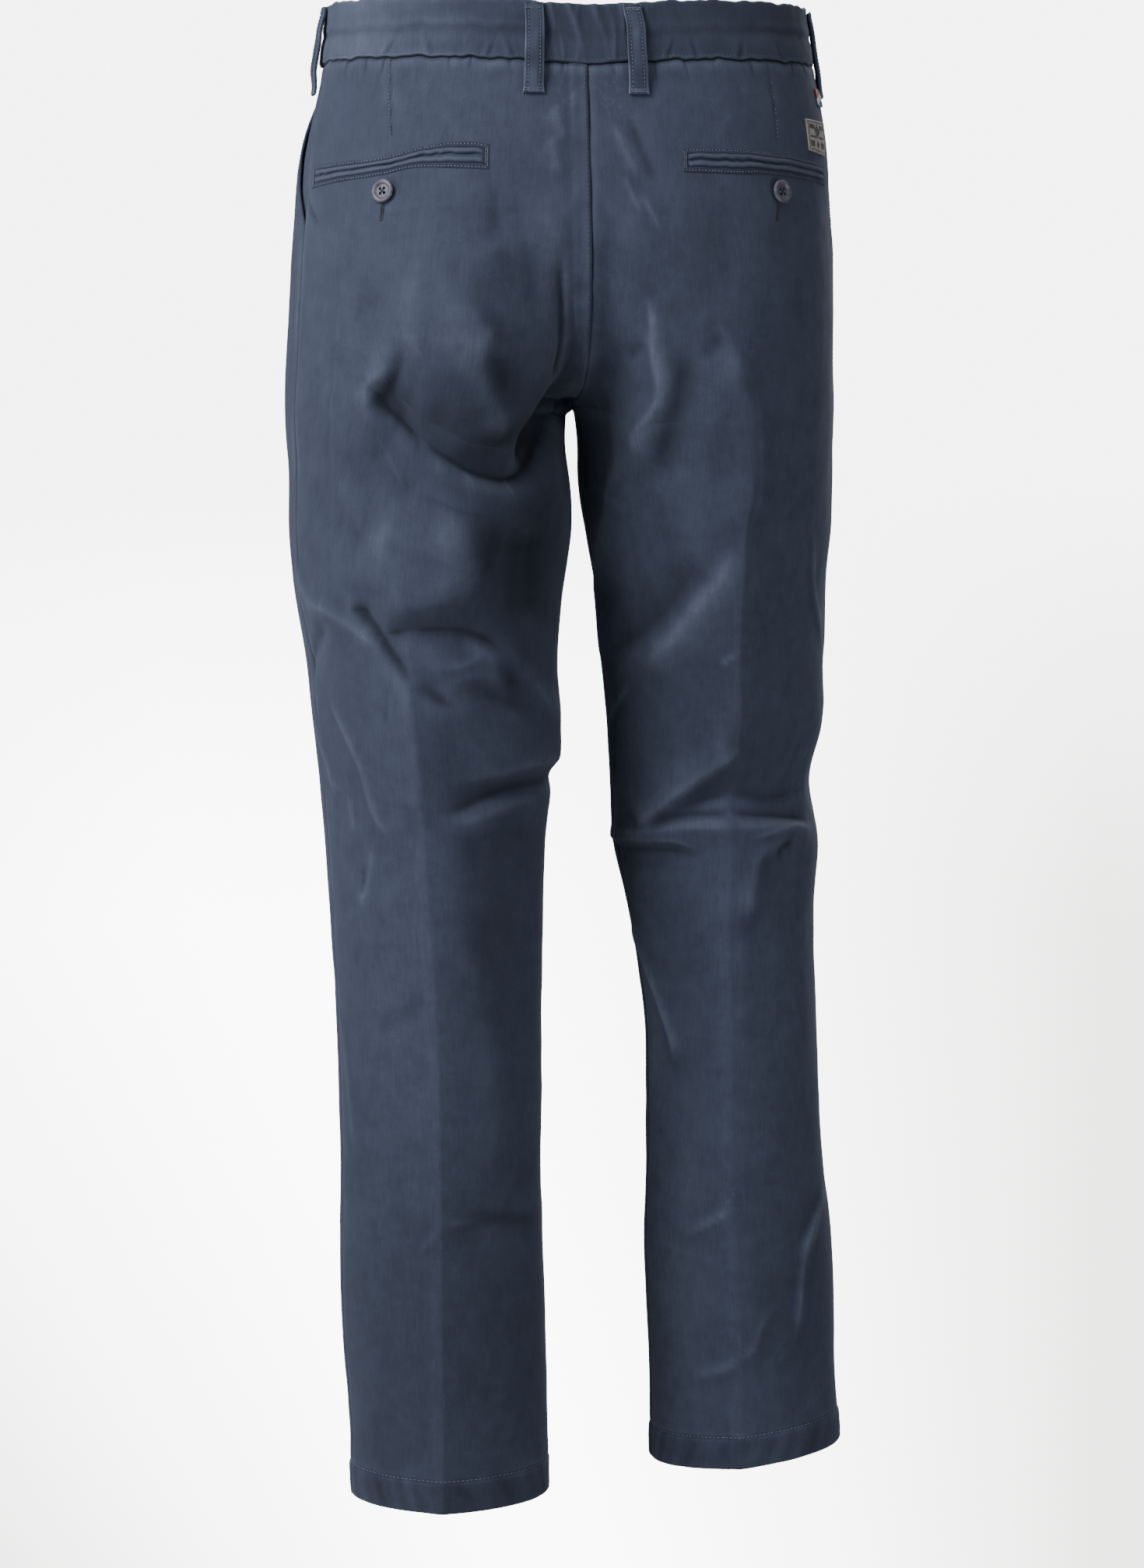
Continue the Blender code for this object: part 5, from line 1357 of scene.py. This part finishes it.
# %% [markdown]
# ## Stitches
# A row of lockstitches looks like grains set end to end, each sunk a little in the
# cloth. Every stitch is a small stretched icosphere, placed along a path on the cloth.
# The stitches differ a little in length, and each row is one mesh with its neighbours.

# %% Stitch rows
STITCH_LENGTH = 2.0 * MM
STITCH_WIDTH = 0.62 * MM
STITCH_HEIGHT = 0.42 * MM
STITCH_PITCH = 2.75 * MM
THREADS = {}


def stitch(bm, centre, along, normal, length, width, height):
    along = Vector(along).normalized()
    normal = Vector(normal)
    normal = (normal - along * normal.dot(along)).normalized()
    across = normal.cross(along)
    turn = Matrix((along, across, normal)).transposed().to_4x4()
    stretch = Matrix.Diagonal((length, width, height, 1))
    bmesh.ops.create_icosphere(bm, subdivisions=1, radius=0.5,
                               matrix=Matrix.Translation(centre) @ turn @ stretch)


def stitch_row(bm, points, normals, pitch=STITCH_PITCH, length=STITCH_LENGTH, wide=STITCH_WIDTH,
               seed=1, skipped=0.0):
    """Stitches at an even pitch along a line of points on the cloth."""
    steps = np.linalg.norm(np.diff(points, axis=0), axis=1)
    arc = np.concatenate([[0], np.cumsum(steps)])
    chance = np.random.default_rng(seed)
    for at in np.arange(pitch / 2, arc[-1] - length / 2, pitch):
        if chance.random() < skipped:
            continue
        at += chance.uniform(-0.1, 0.1) * pitch
        ends = [np.array([np.interp(at + shift, arc, points[:, k]) for k in range(3)])
                for shift in (-length / 2, length / 2)]
        normal = np.array([np.interp(at, arc, normals[:, k]) for k in range(3)])
        long = length * chance.uniform(0.85, 1.12)
        stitch(bm, (ends[0] + ends[1]) / 2, ends[1] - ends[0], normal, long, wide, STITCH_HEIGHT)


def sew(bm, side, turn, height, lift, **looks):
    """A row of stitches along a line on the cloth, raised by the lift."""
    stitch_row(bm, surface(side, turn, height, lift), outward(side, turn, height), **looks)


def finish_stitches(name, bm):
    piece = mesh_piece(name, bm)
    piece.data.shade_smooth()
    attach(piece, "root")
    THREADS[name] = piece
    print(name, len(piece.data.polygons) // 20, "stitches")


# %% Stitches on the band and the seams
bm = bmesh.new()
around = np.linspace(0.004, 0.996, 900)
row = np.full(around.shape, WAIST_SEAM + 2.2 * MM)
points = band_points(around, row, 0.05 * MM)
normals = band_points(around, row, 1 * MM) - points
stitch_row(bm, points, normals, seed=2, skipped=0.02)
finish_stitches("waistband_stitches", bm)

bm = bmesh.new()
heights = np.linspace(WAIST_SEAM - CENTRE_BACK_DIP - 1 * MM, CROTCH + 4 * MM, 300)
beside = 2 - 1.9 * MM / seam_speed("left", 2, heights)
sew(bm, "left", beside, heights, 0.1 * MM, seed=3)
finish_stitches("seat_seam_stitches", bm)

# %% [markdown]
# The hand pocket mouths have two rows along their edge. The fly's row runs down beside
# the lapped edge and curves in to the centre at its foot. The hems have one row, high
# above the edge, because they are turned up twice.

# %% Stitches on mouths, fly and hems
FLY_BEND = -0.165
FLY_WIDTH = 0.036
for side in ("left", "right"):
    bm = bmesh.new()
    for inset, seed in ((1.8 * MM, 5), (7.0 * MM, 6)):
        rows = np.linspace(WAIST_SEAM - 1 * MM, MOUTH_END + 1 * MM, 80)
        turn = mouth_turn(rows) - inset / seam_speed(side, 0, rows)
        sew(bm, side, turn, on_the_cloth(side, turn, rows), 0.1 * MM, seed=seed)
    finish_stitches(f"{side}_mouth_stitches", bm)

bm = bmesh.new()
bend = np.linspace(0, 1.5, 40)
heights = np.concatenate([np.linspace(-0.021, FLY_BEND, 100), FLY_BEND - 0.040 * np.sin(bend)])
away = np.concatenate([np.full(100, FLY_WIDTH), FLY_WIDTH * np.cos(bend)])
turn = -2 + np.maximum(away, 0.002) / seam_speed("left", -2, heights)
sew(bm, "left", turn, heights, FLY_LIFT * fly_share("left", turn, heights) + 0.1 * MM, seed=7)
finish_stitches("fly_stitches", bm)

for side in ("left", "right"):
    bm = bmesh.new()
    turn = np.linspace(-1.99, 1.99, 700)
    height = hem_height(side, turn) + HEM_STITCH
    sew(bm, side, turn, height, 0.25 * MM, pitch=3.1 * MM, length=2.3 * MM, seed=8)
    finish_stitches(f"{side}_hem_stitches", bm)

# %% Darts over the back pockets, each with a near-black row that stands for the painted shade in its fold
for name, shift, pitch, long, wide in (("dart_stitches", 1.3 * MM, 2.6 * MM, 1.6 * MM, 0.55 * MM),
                                       ("dart_shade_lines", 0.0, 1.9 * MM, 2.4 * MM, 0.95 * MM)):
    bm = bmesh.new()
    for side in ("left", "right"):
        dart_turn, lean, end = DARTS[side][:3]
        heights = np.linspace(WAIST_SEAM - 1 * MM, end + 6 * MM, 60)
        turn = dart_turn + lean * (heights - WAIST_SEAM)
        turn = turn - shift * turns_per_metre(side, dart_turn, end)
        sew(bm, side, turn, heights, 0.0, pitch=pitch, length=long, wide=wide, seed=17,
            skipped=0.5 if shift and side == "right" else 0)
    finish_stitches(name, bm)

# %% Stitches on loops, pockets and label
def sew_loop(bm, side, place, row, across, lift, **looks):
    """A row of stitches on a belt loop's strap."""
    row, across = np.broadcast_arrays(row, across)
    strap = LOOP_STRAP[place] + lift
    points = loop_points(side, place, row, across, strap)
    away = loop_points(side, place, row, across, strap + MM) - points
    stitch_row(bm, points, away, **looks)


def corner_lines(corners):
    """The lines from one corner to the next: the first corner, and the way along."""
    return [(np.array(a), np.array(b) - np.array(a)) for a, b in zip(corners, corners[1:])]


bm = bmesh.new()
for place, turns in LOOP_TURNS.items():
    for side in turns:
        rows = np.linspace(0.0150, LOOP_END + 3 * MM, 60)
        for across in (-0.30, 0.30):
            sew_loop(bm, side, place, rows, across, 0.25 * MM,
                     pitch=2.4 * MM, length=1.8 * MM, seed=9)
        for at in (0.0150, 0.0138, LOOP_END + 2.9 * MM, LOOP_END + 1.7 * MM):
            sew_loop(bm, side, place, at, np.linspace(-0.46, 0.46, 30), 0.35 * MM,
                     pitch=1.25 * MM, length=1.3 * MM, wide=0.8 * MM, seed=11)
finish_stitches("belt_loop_stitches", bm)

for side in ("left", "right"):
    bm = bmesh.new()
    for inset in (POCKET_ROW, 2.9 * MM):
        rim_share = 1 - inset / (POCKET_HALF * MM)
        end_share = inset / POCKET_LENGTH
        corners = ((end_share, rim_share), (1 - end_share, rim_share),
                   (1 - end_share, -rim_share), (end_share, -rim_share), (end_share, rim_share))
        for start, way in corner_lines(corners):
            level = way[1] == 0
            if inset > 2 * MM and level:
                continue
            share = np.linspace(0, 1, 90 if level else 12)[:, None]
            across, down = (start + way * share).T
            lift = pocket_lift(side, across, down)[0] + 0.12 * MM
            sew(bm, side, *pocket_places(side, across, down), lift,
                pitch=2.2 * MM if level else 1.5 * MM, length=1.5 * MM, wide=0.75 * MM, seed=12)
    finish_stitches(f"back_pocket_stitches_{side}", bm)

bm = bmesh.new()
corners = ((0.05, 0.08), (0.95, 0.08), (0.95, 0.92), (0.05, 0.92), (0.05, 0.08))
for start, way in corner_lines(corners):
    across, down = (start + way * np.linspace(0, 1, 30)[:, None]).T
    sew(bm, "right", *patch_places(LABEL_CORNERS, across, down), 1.35 * MM,
        pitch=2.2 * MM, length=1.6 * MM, seed=14)
finish_stitches("label_stitches", bm)

# %% [markdown]
# ## Buttonhole tails and button threads
# The buttonhole of a back pocket runs straight down from the button and ends in a bar
# of thread. Each button is held by thread that crosses between its four holes.

# %% Buttonhole tails and threads
TAIL_START = 5.5 * MM
TAIL_END = 18.5 * MM
TAIL_TURNS = {"left": 0.71, "right": 0.75}
THREAD_HEIGHT = 1.95 * MM

bm = bmesh.new()
for side, (turn, height) in BUTTON_PLACES.items():
    to_turn = TAIL_TURNS[side]
    heights = np.linspace(height - TAIL_START, height - TAIL_END, 30)
    middle = turn + (to_turn - turn) * (height - heights) / TAIL_END
    for shift in (-0.75 * MM, 0.75 * MM):
        turns = middle + shift * turns_per_metre(side, turn, height)
        sew(bm, side, turns, heights, 0.2 * MM,
            pitch=0.85 * MM, length=0.8 * MM, wide=1.5 * MM, seed=15)
    turns = to_turn + np.linspace(-1.5, 1.5, 12) * MM * turns_per_metre(side, turn, height)
    sew(bm, side, turns, np.full(turns.shape, height - TAIL_END), 0.25 * MM,
        pitch=0.8 * MM, length=0.9 * MM, wide=1.2 * MM, seed=16)
finish_stitches("buttonhole_tails", bm)

bm = bmesh.new()
for disc, at in BUTTONS:
    for shift in (-0.28, 0.0, 0.28):
        for a, b in (((-1, -1), (1, 1)), ((-1, 1), (1, -1))):
            across = Vector((-(b[1] - a[1]), b[0] - a[0], 0)).normalized() * shift * MM
            start, end = (Vector((x * HOLE_SPACING, y * HOLE_SPACING, THREAD_HEIGHT)) + across
                          for x, y in (a, b))
            normal = at.to_3x3() @ Vector((0, 0, 1))
            stitch(bm, at @ ((start + end) / 2), at.to_3x3() @ (end - start), normal,
                   (end - start).length + 0.5 * MM, 0.42 * MM, 0.7 * MM)
finish_stitches("button_threads", bm)


# %% [markdown]
# ## Writing materials
# A small class wraps a shader socket, so that the maths of a material reads like
# ordinary Python. Colours go through Mix nodes, and every other node comes from one
# method that takes the node's type, its settings and its inputs.

# %% Shader maths


class Value:
    """A shader socket that can be added, multiplied and compared."""

    def __init__(self, tree, socket):
        self.tree = tree
        self.socket = socket

    def math(self, operation, *others):
        node = self.tree.nodes.new("ShaderNodeMath")
        node.operation = operation
        for place, other in enumerate((self, *others)):
            if isinstance(other, Value):
                self.tree.links.new(other.socket, node.inputs[place])
            else:
                node.inputs[place].default_value = other
        return Value(self.tree, node.outputs[0])

    def __add__(self, other):
        return self.math("ADD", other)

    __radd__ = __add__

    def __sub__(self, other):
        return self.math("SUBTRACT", other)

    def __rsub__(self, other):
        return self.math("MULTIPLY", -1).math("ADD", other)

    def __mul__(self, other):
        return self.math("MULTIPLY", other)

    __rmul__ = __mul__

    def clamp(self):
        return self.math("MAXIMUM", 0).math("MINIMUM", 1)

    def step(self, start, end):
        """0 below start, 1 above end, straight between."""
        return ((self - start) * (1 / (end - start))).clamp()


class Finish:
    """A material under construction."""

    def __init__(self, name):
        self.material = bpy.data.materials.new(name)
        self.material.use_nodes = True
        self.tree = self.material.node_tree
        self.shader = self.tree.nodes["Principled BSDF"]

    def node(self, kind, settings=None, inputs=None, output=0):
        """A node of this kind, with its settings made first and then its inputs."""
        node = self.tree.nodes.new(kind)
        for key, value in (settings or {}).items():
            setattr(node, key, value)
        for key, value in (inputs or {}).items():
            self.put(value, node.inputs[key])
        return Value(self.tree, node.outputs[output])

    def put(self, value, socket):
        if isinstance(value, Value):
            self.tree.links.new(value.socket, socket)
        else:
            socket.default_value = value

    def mix(self, share, low, high):
        """A colour between two colours."""
        low = (*low, 1) if isinstance(low, tuple) else low
        high = (*high, 1) if isinstance(high, tuple) else high
        return self.node("ShaderNodeMix", {"data_type": "RGBA"}, {0: share, 6: low, 7: high}, 2)

    def parts(self, vector):
        """The x, y and z of a vector."""
        first = self.node("ShaderNodeSeparateXYZ", None, {0: vector})
        return [Value(self.tree, output) for output in first.socket.node.outputs]

    def cloth_uv(self):
        return self.node("ShaderNodeUVMap", {"uv_map": "cloth"})

    def object_place(self):
        return self.node("ShaderNodeTexCoord", output=3)

    def wear_and_shade(self):
        return self.node("ShaderNodeAttribute", {"attribute_name": "wear_and_shade"}, output=2)

    def stretched(self, vector, scale, turn=0.0):
        return self.node("ShaderNodeMapping", None, {"Vector": vector, "Scale": scale,
                                                     "Rotation": (0, 0, turn)})

    def noise(self, vector, scale, detail=2.0, roughness=0.5):
        return self.node("ShaderNodeTexNoise", None, {
            "Vector": vector, "Scale": scale, "Detail": detail, "Roughness": roughness})

    def waves(self, vector, scale, direction="X"):
        return self.node("ShaderNodeTexWave", {"bands_direction": direction},
                         {"Vector": vector, "Scale": scale}, 1)

    def bump(self, height, strength, distance):
        normal = self.node("ShaderNodeBump", None,
                           {"Height": height, "Strength": strength, "Distance": distance})
        self.put(normal, self.shader.inputs["Normal"])

    def surface(self, colour, roughness, **constants):
        self.put(colour, self.shader.inputs["Base Color"])
        self.put(roughness, self.shader.inputs["Roughness"])
        for name, value in constants.items():
            self.shader.inputs[name.replace("_", " ")].default_value = value
        return self.material


# %% [markdown]
# ## Navy twill
# Garment-dyed twill has fine diagonal ribs, slubs along the warp, and a dye that fades
# where the cloth is touched. The ribs are half a millimetre apart, so they are a bump.
# The colour goes from deep navy to a pale grey blue by the attribute of wear and painted
# light and by two sizes of noise, one of them drawn out along the warp. Below zero the
# same attribute mixes in a near-black painted shade.

# %% Twill finish
NAVY_DEEP = (0.0330, 0.0420, 0.0700)
NAVY = (0.0555, 0.0685, 0.1120)
NAVY_PALE = (0.1500, 0.1810, 0.2600)


RIB = 0.55 * MM
RIB_SLANT = math.radians(-52)
WAVE_SCALE = 2 / 6.2832  # at this scale the wave texture has about one band in a metre


def twill_finish(name, wear_reach=1.0):
    finish = Finish(name)
    uv = finish.cloth_uv()
    wear_and_shade = finish.wear_and_shade()
    warp = finish.stretched(uv, (1, 0.16, 1))
    cloudy = finish.noise(uv, 26, 3.0, 0.55)
    streaks = finish.noise(warp, 420, 3.0, 0.65)
    slubs = finish.noise(finish.stretched(uv, (1, 0.05, 1)), 900, 2.0, 0.5)
    grain = finish.noise(uv, 1500, 2.0, 0.7)
    blotch = finish.noise(uv, 95, 4.0, 0.6)
    tone = (cloudy - 0.5) * 0.9 + (streaks - 0.5) * 0.7 + (grain - 0.5) * 1.6
    tone = tone + (slubs - 0.5) * 0.5 + (blotch - 0.5) * 0.9
    crinkles = finish.noise(finish.stretched(uv, (1, 0.6, 1), 0.5), 38, 3.0, 0.62)
    fresh = finish.noise(uv, 17, 1.0)
    lines = (crinkles - 0.5).math("ABSOLUTE").step(0.010, 0.0) * fresh.step(0.52, 0.66)
    wear_and_shade = wear_and_shade + lines * 0.28
    dyed = finish.mix((tone + 0.5).clamp(), NAVY_DEEP, NAVY)
    # Above zero the attribute pales the dye, as wear and as painted light.
    faded_and_painted_light = (wear_and_shade * wear_reach * 0.34 + (tone * 0.35) * wear_and_shade).clamp()
    pale = finish.mix(faded_and_painted_light, dyed, NAVY_PALE)
    # Below zero it mixes in a near-black painted shade.
    with_painted_shade = finish.mix((wear_and_shade * -0.5).clamp(), pale, (0.008, 0.010, 0.016))
    rib = finish.waves(finish.stretched(uv, (1, 1, 1), RIB_SLANT), WAVE_SCALE / RIB)
    height = rib * 0.55 + grain * 0.35 + slubs * 0.30 + lines * 0.5
    finish.bump(height, 0.35, 0.00025)
    return finish.surface(with_painted_shade, (0.86 - 0.1 * wear_and_shade).clamp(), Sheen_Weight=0.22,
                          Sheen_Roughness=0.45, Sheen_Tint=(0.60, 0.68, 0.85, 1),
                          Specular_IOR_Level=0.28)


twill = twill_finish("garment dyed twill")
twill_band = twill_finish("twill of the band", 1.15)
sheets = [thing for thing in bpy.context.scene.objects
          if thing.name.endswith("_cloth") or thing.name.startswith("back_pocket_frame")]
for sheet in sheets:
    sheet.data.materials.append(twill if sheet in PANELS.values() else twill_band)
print("twill on", len(sheets), "sheets")

# %% [markdown]
# ## Button plastic
# The buttons are a smoky mauve plastic made to look like horn, so their colour swims in
# soft bands, and they shine more than anything else on the trousers.

# %% Button finish


def button_finish():
    finish = Finish("smoky button plastic")
    place = finish.object_place()
    swim = finish.noise(finish.stretched(place, (1, 1, 2.5)), 160, 2.0, 0.5)
    specks = finish.noise(place, 900, 1.0)
    colour = finish.mix(swim.step(0.3, 0.7), (0.060, 0.056, 0.090), (0.135, 0.125, 0.175))
    finish.bump(specks, 0.15, 0.0002)
    return finish.surface(colour, swim * 0.15 + 0.30, Specular_IOR_Level=0.5)


plastic = button_finish()
for disc, at in BUTTONS:
    disc.data.materials.clear()
    disc.data.materials.append(plastic)

# %% [markdown]
# ## Label canvas and striped tape
# The label is unbleached canvas with a faded dark print. The print here is only a
# border with plain bars and two lozenges. The tape has three slanted bands.

# %% Label and tape finishes


def canvas_finish():
    finish = Finish("printed label canvas")
    uv = finish.cloth_uv()
    x, y, _ = finish.parts(uv)
    weave = finish.waves(uv, 14, "X") * 0.5 + finish.waves(uv, 9, "Y") * 0.5
    mottle = finish.noise(uv, 6, 4.0, 0.6)

    def box(left, right, low, high, soft=0.02):
        return (x.step(left, left + soft) * (1 - x.step(right, right + soft))
                * y.step(low, low + soft) * (1 - y.step(high, high + soft)))

    def lozenge(cx, cy, rx, ry):
        away = ((x - cx) * (1 / rx)).math("ABSOLUTE") + ((y - cy) * (1 / ry)).math("ABSOLUTE")
        return 1 - away.step(0.85, 1.0)

    marks = box(0.10, 0.38, 0.70, 0.84) + box(0.62, 0.90, 0.70, 0.84)
    marks = marks + lozenge(0.5, 0.66, 0.17, 0.24)
    marks = marks + box(0.12, 0.44, 0.44, 0.50) + box(0.56, 0.86, 0.44, 0.50)
    marks = marks + box(0.10, 0.32, 0.16, 0.34) + lozenge(0.5, 0.26, 0.10, 0.13)
    marks = marks + box(0.66, 0.90, 0.16, 0.34)
    border = box(0.03, 0.95, 0.05, 0.93) - box(0.05, 0.93, 0.08, 0.90)
    mask = ((marks + border * 0.6) * mottle.step(0.25, 0.45)).clamp()
    canvas = finish.mix(mottle.step(0.35, 0.7), (0.240, 0.220, 0.195), (0.420, 0.390, 0.350))
    colour = finish.mix(mask * 0.95, canvas, (0.022, 0.022, 0.028))
    finish.bump(weave * 0.6 + mottle * 0.3, 0.5, 0.0003)
    return finish.surface(colour, 0.9, Sheen_Weight=0.15)


def tape_finish():
    finish = Finish("striped tape")
    uv = finish.cloth_uv()
    x, y, _ = finish.parts(uv)
    slant = y - x * 0.35
    red, white, blue = (0.30, 0.035, 0.045), (0.60, 0.60, 0.62), (0.035, 0.075, 0.26)
    lower = finish.mix(slant.step(0.10, 0.14), blue, white)
    colour = finish.mix(slant.step(0.42, 0.46), lower, red)
    finish.bump(finish.waves(uv, 5, "Y"), 0.5, 0.0003)
    return finish.surface(colour, 0.7, Sheen_Weight=0.2)


def thread_finish(name, colour):
    finish = Finish(name)
    place = finish.object_place()
    ply = finish.noise(place, 1400, 2.0, 0.6)
    tone_change = finish.noise(place, 55, 2.0, 0.5).step(0.35, 0.65)
    pale = tuple(min(1.0, c * 2.1) for c in colour)
    shade = finish.mix(tone_change * 0.6 + ply * 0.4, colour, pale)
    finish.bump(ply, 0.4, 0.0002)
    return finish.surface(shade, 0.7, Sheen_Weight=0.1)


navy_thread = thread_finish("navy thread", (0.040, 0.050, 0.080))
pale_thread = thread_finish("pale thread", (0.075, 0.092, 0.135))
dark_thread = thread_finish("dark thread", (0.007, 0.008, 0.013))
# The darts' near-black rows stand for painted shade in their folds; the other dark rows are dark
# thread.
DARK_ROWS = ("button_threads", "buttonhole_tails", "label_stitches", "dart_shade_lines")
PALE_ROWS = ("back_pocket_stitches_left", "back_pocket_stitches_right", "belt_loop_stitches",
             "left_hem_stitches", "right_hem_stitches", "dart_stitches")
thread_of = dict.fromkeys(DARK_ROWS, dark_thread) | dict.fromkeys(PALE_ROWS, pale_thread)
for name, piece in THREADS.items():
    piece.data.materials.append(thread_of.get(name, navy_thread))
label.data.materials.append(canvas_finish())
tape.data.materials.append(tape_finish())
print("finishes:", len(bpy.data.materials))


# %% [markdown]
# ## Studio
# A wide softbox stands high behind the wearer's left shoulder, so that every fold has
# a light and a dark side. The rest of the light is weak and comes from all round. The
# backdrop is a wide bowl of pale paper, so it is the same from all sides. The paper
# glows by itself as painted light, brightest on the floor behind the trousers.

# %% Backdrop and floor
FLOOR = -1.08
BOWL_RADII = (0.0, 0.8, 1.6, 2.4, 3.2)
BOWL_CURVE = 1.2
BOWL_WALL = 5.5
GLOW = 10.0


def paper_finish():
    """Paper that glows by itself as painted light: brightest on the floor behind the trousers."""
    finish = Finish("pale paper")
    x, y, z = finish.parts(finish.object_place())
    spread = y.math("ABSOLUTE") * 0.22 + 0.30
    from_axis = x.math("ABSOLUTE").math("DIVIDE", spread)
    floor = finish.mix(from_axis.step(0.15, 1.25), (1.0, 1.0, 0.995), (0.37, 0.37, 0.36))
    glow = finish.mix(z.step(FLOOR, -0.45), floor, (0.60, 0.60, 0.60))
    finish.put(glow, finish.shader.inputs["Emission Color"])
    finish.shader.inputs["Emission Strength"].default_value = GLOW
    return finish.surface((0.02, 0.02, 0.02, 1), 1.0, Specular_IOR_Level=0.0)


profile = [(radius, FLOOR) for radius in BOWL_RADII]
for a in np.radians(np.linspace(6, 90, 15)):
    profile.append((BOWL_RADII[-1] + BOWL_CURVE * math.sin(a),
                    FLOOR + BOWL_CURVE * (1 - math.cos(a))))
profile.append((BOWL_RADII[-1] + BOWL_CURVE, BOWL_WALL))
paper = spun_piece("paper_bowl", profile, 72, 1e-4)
paper.data.shade_smooth()
paper.data.materials.append(paper_finish())
for ray in ("diffuse", "glossy", "shadow", "transmission"):
    setattr(paper, f"visible_{ray}", False)
print("paper bowl:", len(paper.data.polygons), "faces")

# %% Lights
# name: place, what it looks at, its width and length, and its watts
SOFTBOXES = {
    "key softbox": ((1.95, 1.45, 1.65), (0.0, 0.0, -0.48), 1.3, 1.5, 92),
    "side softbox": ((2.4, 0.55, -0.10), (0.0, 0.0, -0.30), 1.2, 1.6, 23),
    "low left softbox": ((1.9, 1.9, -0.95), (-0.05, 0.0, -0.75), 1.4, 1.0, 13),
    "low right softbox": ((-1.8, 2.0, -1.0), (-0.1, 0.0, -0.75), 1.4, 1.0, 22),
    "fill softbox": ((-1.0, 3.2, 1.0), (0.0, 0.0, -0.5), 2.2, 2.0, 9),
    "overhead softbox": ((0.0, 0.7, 2.5), (0.0, 0.1, -0.4), 2.4, 1.6, 6),
    "front softbox": ((-1.2, -2.6, 0.8), (0.0, 0.0, -0.5), 2.0, 2.4, 64),
}
for name, (place, target, width, length, watts) in SOFTBOXES.items():
    light = bpy.data.lights.new(name, "AREA")
    light.shape = "RECTANGLE"
    light.size, light.size_y = width, length
    light.energy = watts
    box = bpy.data.objects.new(name, light)
    box.location = place
    box.rotation_euler = (Vector(target) - Vector(place)).to_track_quat("-Z", "Y").to_euler()
    box.visible_camera = False
    bpy.context.scene.collection.objects.link(box)
world = bpy.data.worlds.new("studio air")
bpy.context.scene.world = world
world.use_nodes = True
air = world.node_tree.nodes["Background"]
air.inputs["Color"].default_value = (0.84, 0.84, 0.86, 1)
air.inputs["Strength"].default_value = 0.155
print("softboxes:", len(SOFTBOXES))

# %% Camera
camera_data = bpy.data.cameras.new("camera")
camera_data.lens = 88
camera_data.sensor_width = 36
camera = bpy.data.objects.new("camera", camera_data)
camera.location = (0.3357, 2.5782, -0.210)
camera.rotation_euler = (math.radians(90 - 6.4), 0, math.radians(172.5))
bpy.context.scene.collection.objects.link(camera)
bpy.context.scene.camera = camera
print("lens:", camera_data.lens, "mm")

# %% [markdown]
# ## Cut sizes
# Each sheet is listed with the size it was cut to, as a width and a length of flat cloth,
# and how it is held. Its area is measured on the piece before its wall gets its
# thickness, and printed with its share of the cut.

CUTS = {
    "left_back_cloth": (0.320, 0.990, "draped"), "left_front_cloth": (0.372, 0.990, "draped"),
    "right_back_cloth": (0.305, 0.990, "draped"), "right_front_cloth": (0.356, 0.990, "draped"),
    "waistband_cloth": (0.960, 0.042, "gathered"),
    "side_label_canvas": (0.036, 0.024, "stretched"),
    "side_tape_ribbon": (0.017, 0.013, "stretched"),
}
for side in ("left", "right"):
    CUTS[f"facing_{side}_cloth"] = (0.078, 0.124, "draped")
    CUTS[f"back_pocket_frame_{side}"] = (0.190, 0.0185, "stretched")
    for place in LOOP_TURNS:
        CUTS[f"{place}_loop_{side}_cloth"] = (0.0135, 0.064, "stretched")


def cloth_area(piece):
    sizes = np.empty(len(piece.data.polygons))
    piece.data.polygons.foreach_get("area", sizes)
    return float(sizes.sum())


for name, (width, length, held) in CUTS.items():
    piece = bpy.data.objects[name]
    area = cloth_area(piece)
    print(name, "area", round(area, 5), "share of the cut", round(area / (width * length), 3))
print("sheets:", len(CUTS))
